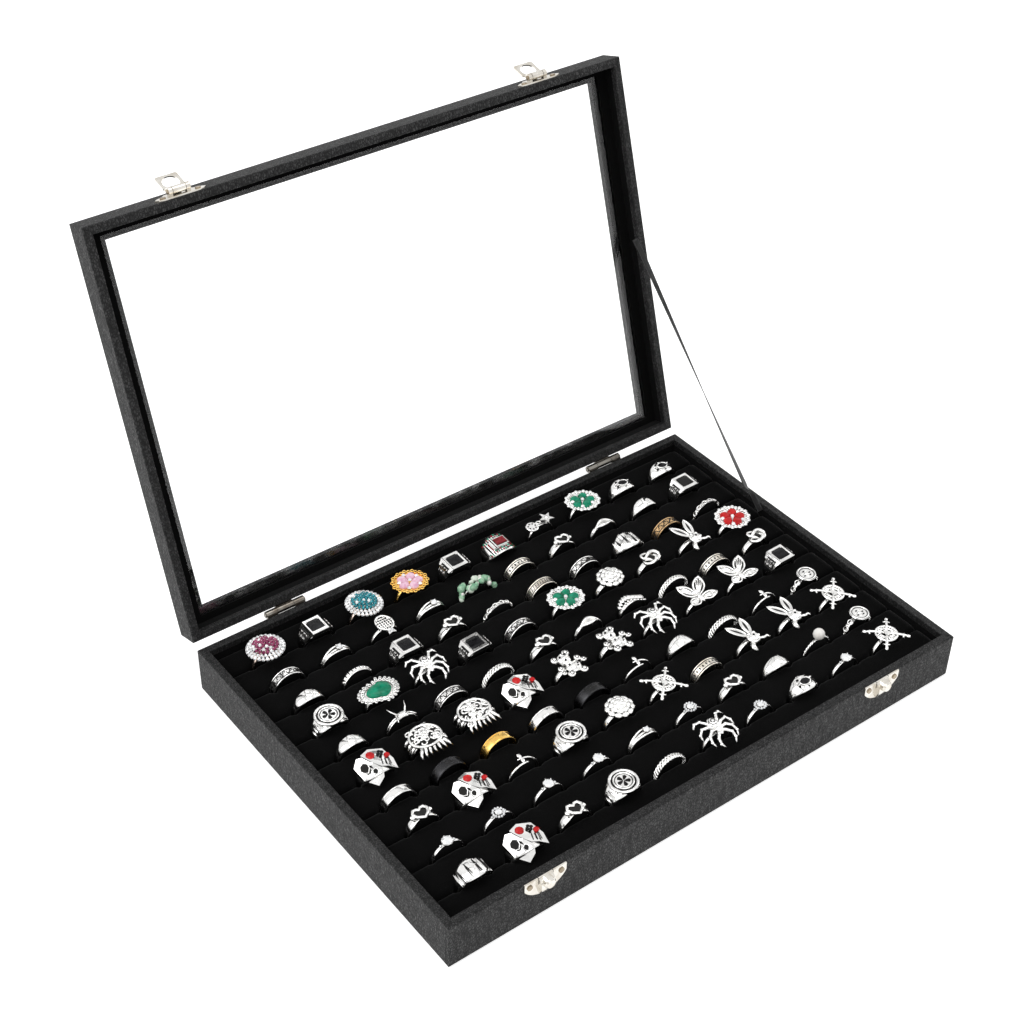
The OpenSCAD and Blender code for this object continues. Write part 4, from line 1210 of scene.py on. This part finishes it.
DESIGNS = {  # code: what makes it, half the width of its band at the velvet, its own settings
    "pu": (cluster, 1.0, "purple"), "te": (cluster, 1.0, "teal"),
    "si": (signet, 2.1), "sg": (signet, 2.1, "dark"), "rs": (round_signet, 2.0),
    "pi": (petals, 1.1, "pink", "gold", False), "gr": (petals, 1.1), "rd": (petals, 1.1, "ruby"),
    "do": (dome, 1.6), "dp": (dome, 1.6, "boss", 4.2, 0.9), "en": (dome, 1.6, "engraved", 6.6, 1.9),
    "r0": (relief, 2.8, "strokes"), "r1": (relief, 2.6, "curls", "silver"),
    "r2": (relief, 2.8, "lozenges"), "cu": (relief, 2.8, "curls", "copper"),
    "pl": (plain, 2.7), "gd": (plain, 2.7, "gold"), "bk": (satin, 3.0),
    "so": (solitaire, 0.8), "sf": (solitaire, 0.8, 1.9, True), "pr": (pearl, 0.9),
    "db": (double, 1.2), "by": (bypass, 1.2), "tw": (twist, 1.9), "wv": (wave, 1.3),
    "cn": (chain, 0.9), "co": (coin, 0.9), "cp": (chips, 0.8), "lv": (leaves, 0.8),
    "ch": (star_charm, 1.0), "cm": (compass, 1.0), "op": (open_head, 1.0), "la": (lattice, 1.0),
    "bf": (butterfly, 1.0), "sp": (spider, 1.0), "bl": (blossom, 1.4), "pe": (peony, 1.4),
    "cr": (crown, 1.2), "sr": (sprig, 1.2), "td": (teardrop, 1.2), "wr": (wire_wrap, 1.2),
    "de": (deco, 2.3), "kn": (knot, 1.6), "sc": (scrollwork, 1.6), "sh": (shield, 2.2),
}

LAYOUT = (  # the tray's rings, left to right; the back row comes first
    "pu si te pi si de ch gr do do",
    "r1 db la db cp r2 op wv dp sg",
    "dp lv si op cn r0 r1 en cu cn",
    "rs td sp si r1 gr pe kn sr rd",
    "dp wr r1 tw op wv cr tw r2 kn",
    "sh sc sc sh bl bl sp bf bf si",
    "pl bk gd pl bk by dp tw by co",
    "op sh by rs pe cm r2 sr sr cm",
    "so sf so so db sf op dp pr co",
    "en sh op rs tw sp sf do so cm",
)

COLUMN_PITCH = 32.0
COLUMNS = [(column - 4.5) * COLUMN_PITCH for column in range(10)]
SEAT = 3.0  # depth of a ring's centre below the velvet, as in the CAD model


def ring_rows():
    """Builds the rings, two slits to a piece, and returns where their bands stand, front row first."""
    rng = random.Random(41)
    stands, shape = [], Ring(rng)
    for row, codes in enumerate(LAYOUT):
        slit, bands = len(LAYOUT) - row, []
        for code, x in zip(codes.split(), COLUMNS):
            make, half, *settings = DESIGNS[code]
            rise, lean, spin = rng.uniform(-0.4, 0.4), rng.uniform(-2.5, 2.5), rng.uniform(-4, 4)
            stand = shift(x, SLITS[slit - 1], INSERT_TOP - SEAT + rise)
            shape.at = stand @ turned(lean, "Y") @ turned(spin, "X")
            make(shape, *settings)
            bands.append((x, half, rise - SEAT))
        if slit % 2:
            pair = f"{slit:02d}_{slit + 1:02d}"
            made = shape.finish(f"silver_rings_{pair}", RING_LOOKS)
            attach(made, "tray")
            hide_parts(f"display_rings_{pair}")
            shape = Ring(rng)
        stands.insert(0, bands)
    return stands


STANDS = [[], *ring_rows(), []]
for number in range(1, 12):
    velvet_bar(number, STANDS[number - 1], STANDS[number])
stay_ribbon()

# ---- studio and camera

FLOOR_REACH = 4.0
FLOOR_LIFT = 0.70  # the floor's own glow, which carries it to white for the camera
SKY = 0.42
CASE = (0.0, 0.0, 0.05)  # what the lamps point at
LAMPS = (  # name, watts, width and depth, place, what it points at, all in metres
    ("key_softbox", 16.0, (1.4, 1.4), (-1.4, 0.3, 1.3), (0.0, 0.05, 0.05)),
    ("front_softbox", 6.0, (1.8, 1.0), (-0.3, -1.8, 1.2), CASE),
    ("top_softbox", 6.0, (1.0, 1.0), (0.1, 0.0, 1.7), CASE),
    ("right_strip", 5.0, (0.6, 1.6), (1.7, -0.2, 1.0), CASE),
)
SENSOR, LENS = 36.0, 64.84  # mm
CAMERA_PLACE = Vector((-0.49701, -0.58078, 0.72787))
CAMERA_RIGHT = Vector((0.7990389, -0.6010890, 0.0151297))
CAMERA_DOWN = Vector((-0.3640471, -0.5036546, -0.7834550))
CAMERA_AHEAD = Vector((0.4785463, 0.6205031, -0.6212643))


def floor():
    """A pale floor that shows white to the camera and still takes a soft shadow."""
    bpy.ops.mesh.primitive_grid_add(x_subdivisions=8, y_subdivisions=8, size=2 * FLOOR_REACH)
    sheet = bpy.context.object
    sheet.name = "studio_floor"
    paint = Finish("studio_floor_paint", Roughness=0.7)
    paint.set("Specular IOR Level", 0.0)
    paint.colour(paint.noise(30.0), (0.80, 0.80, 0.80), (0.82, 0.82, 0.82))
    lift = paint.maths("MULTIPLY", paint.seen(), FLOOR_LIFT)
    glow = paint.node("Emission", Color=(1.0, 1.0, 1.0), Strength=lift)
    both = paint.node("AddShader", i0=paint.shader.outputs[0], i1=glow.outputs[0])
    paint.fill(paint.tree.nodes["Material Output"].inputs["Surface"], both.outputs[0])
    sheet.data.materials.append(paint.material)


def sky():
    """An even sky, dimmer as a light than it looks to the camera and in the metal."""
    world = bpy.data.worlds.new("studio_sky")
    bpy.context.scene.world = world
    world.use_nodes = True
    graph = Graph(world.node_tree)
    background = world.node_tree.nodes["Background"]
    graph.fill(background.inputs["Color"], (1.0, 1.0, 1.0))
    graph.fill(background.inputs["Strength"], graph.ramp(graph.seen(), 0.0, 1.0, SKY, 1.0))


def lamps():
    """Four soft lamps round the case."""
    for name, watts, size, place, target in LAMPS:
        lamp = bpy.data.lights.new(name, "AREA")
        lamp.energy, lamp.shape, lamp.size, lamp.size_y = watts, "RECTANGLE", size[0], size[1]
        held = bpy.data.objects.new(name, lamp)
        held.location = place
        held.rotation_euler = (Vector(target) - Vector(place)).to_track_quat("-Z", "Y").to_euler()
        bpy.context.collection.objects.link(held)


def camera():
    """The photograph's viewpoint, found from the case's own corners."""
    lens = bpy.data.cameras.new("camera")
    lens.sensor_width, lens.lens = SENSOR, LENS
    lens.clip_start, lens.clip_end = 0.05, 20.0
    turn = Matrix((CAMERA_RIGHT, -CAMERA_DOWN, -CAMERA_AHEAD)).transposed().to_4x4()
    held = bpy.data.objects.new("camera", lens)
    held.matrix_world = Matrix.Translation(CAMERA_PLACE) @ turn
    bpy.context.collection.objects.link(held)
    bpy.context.scene.camera = held


floor()
sky()
lamps()
camera()
bpy.context.scene.view_settings.view_transform = "Standard"
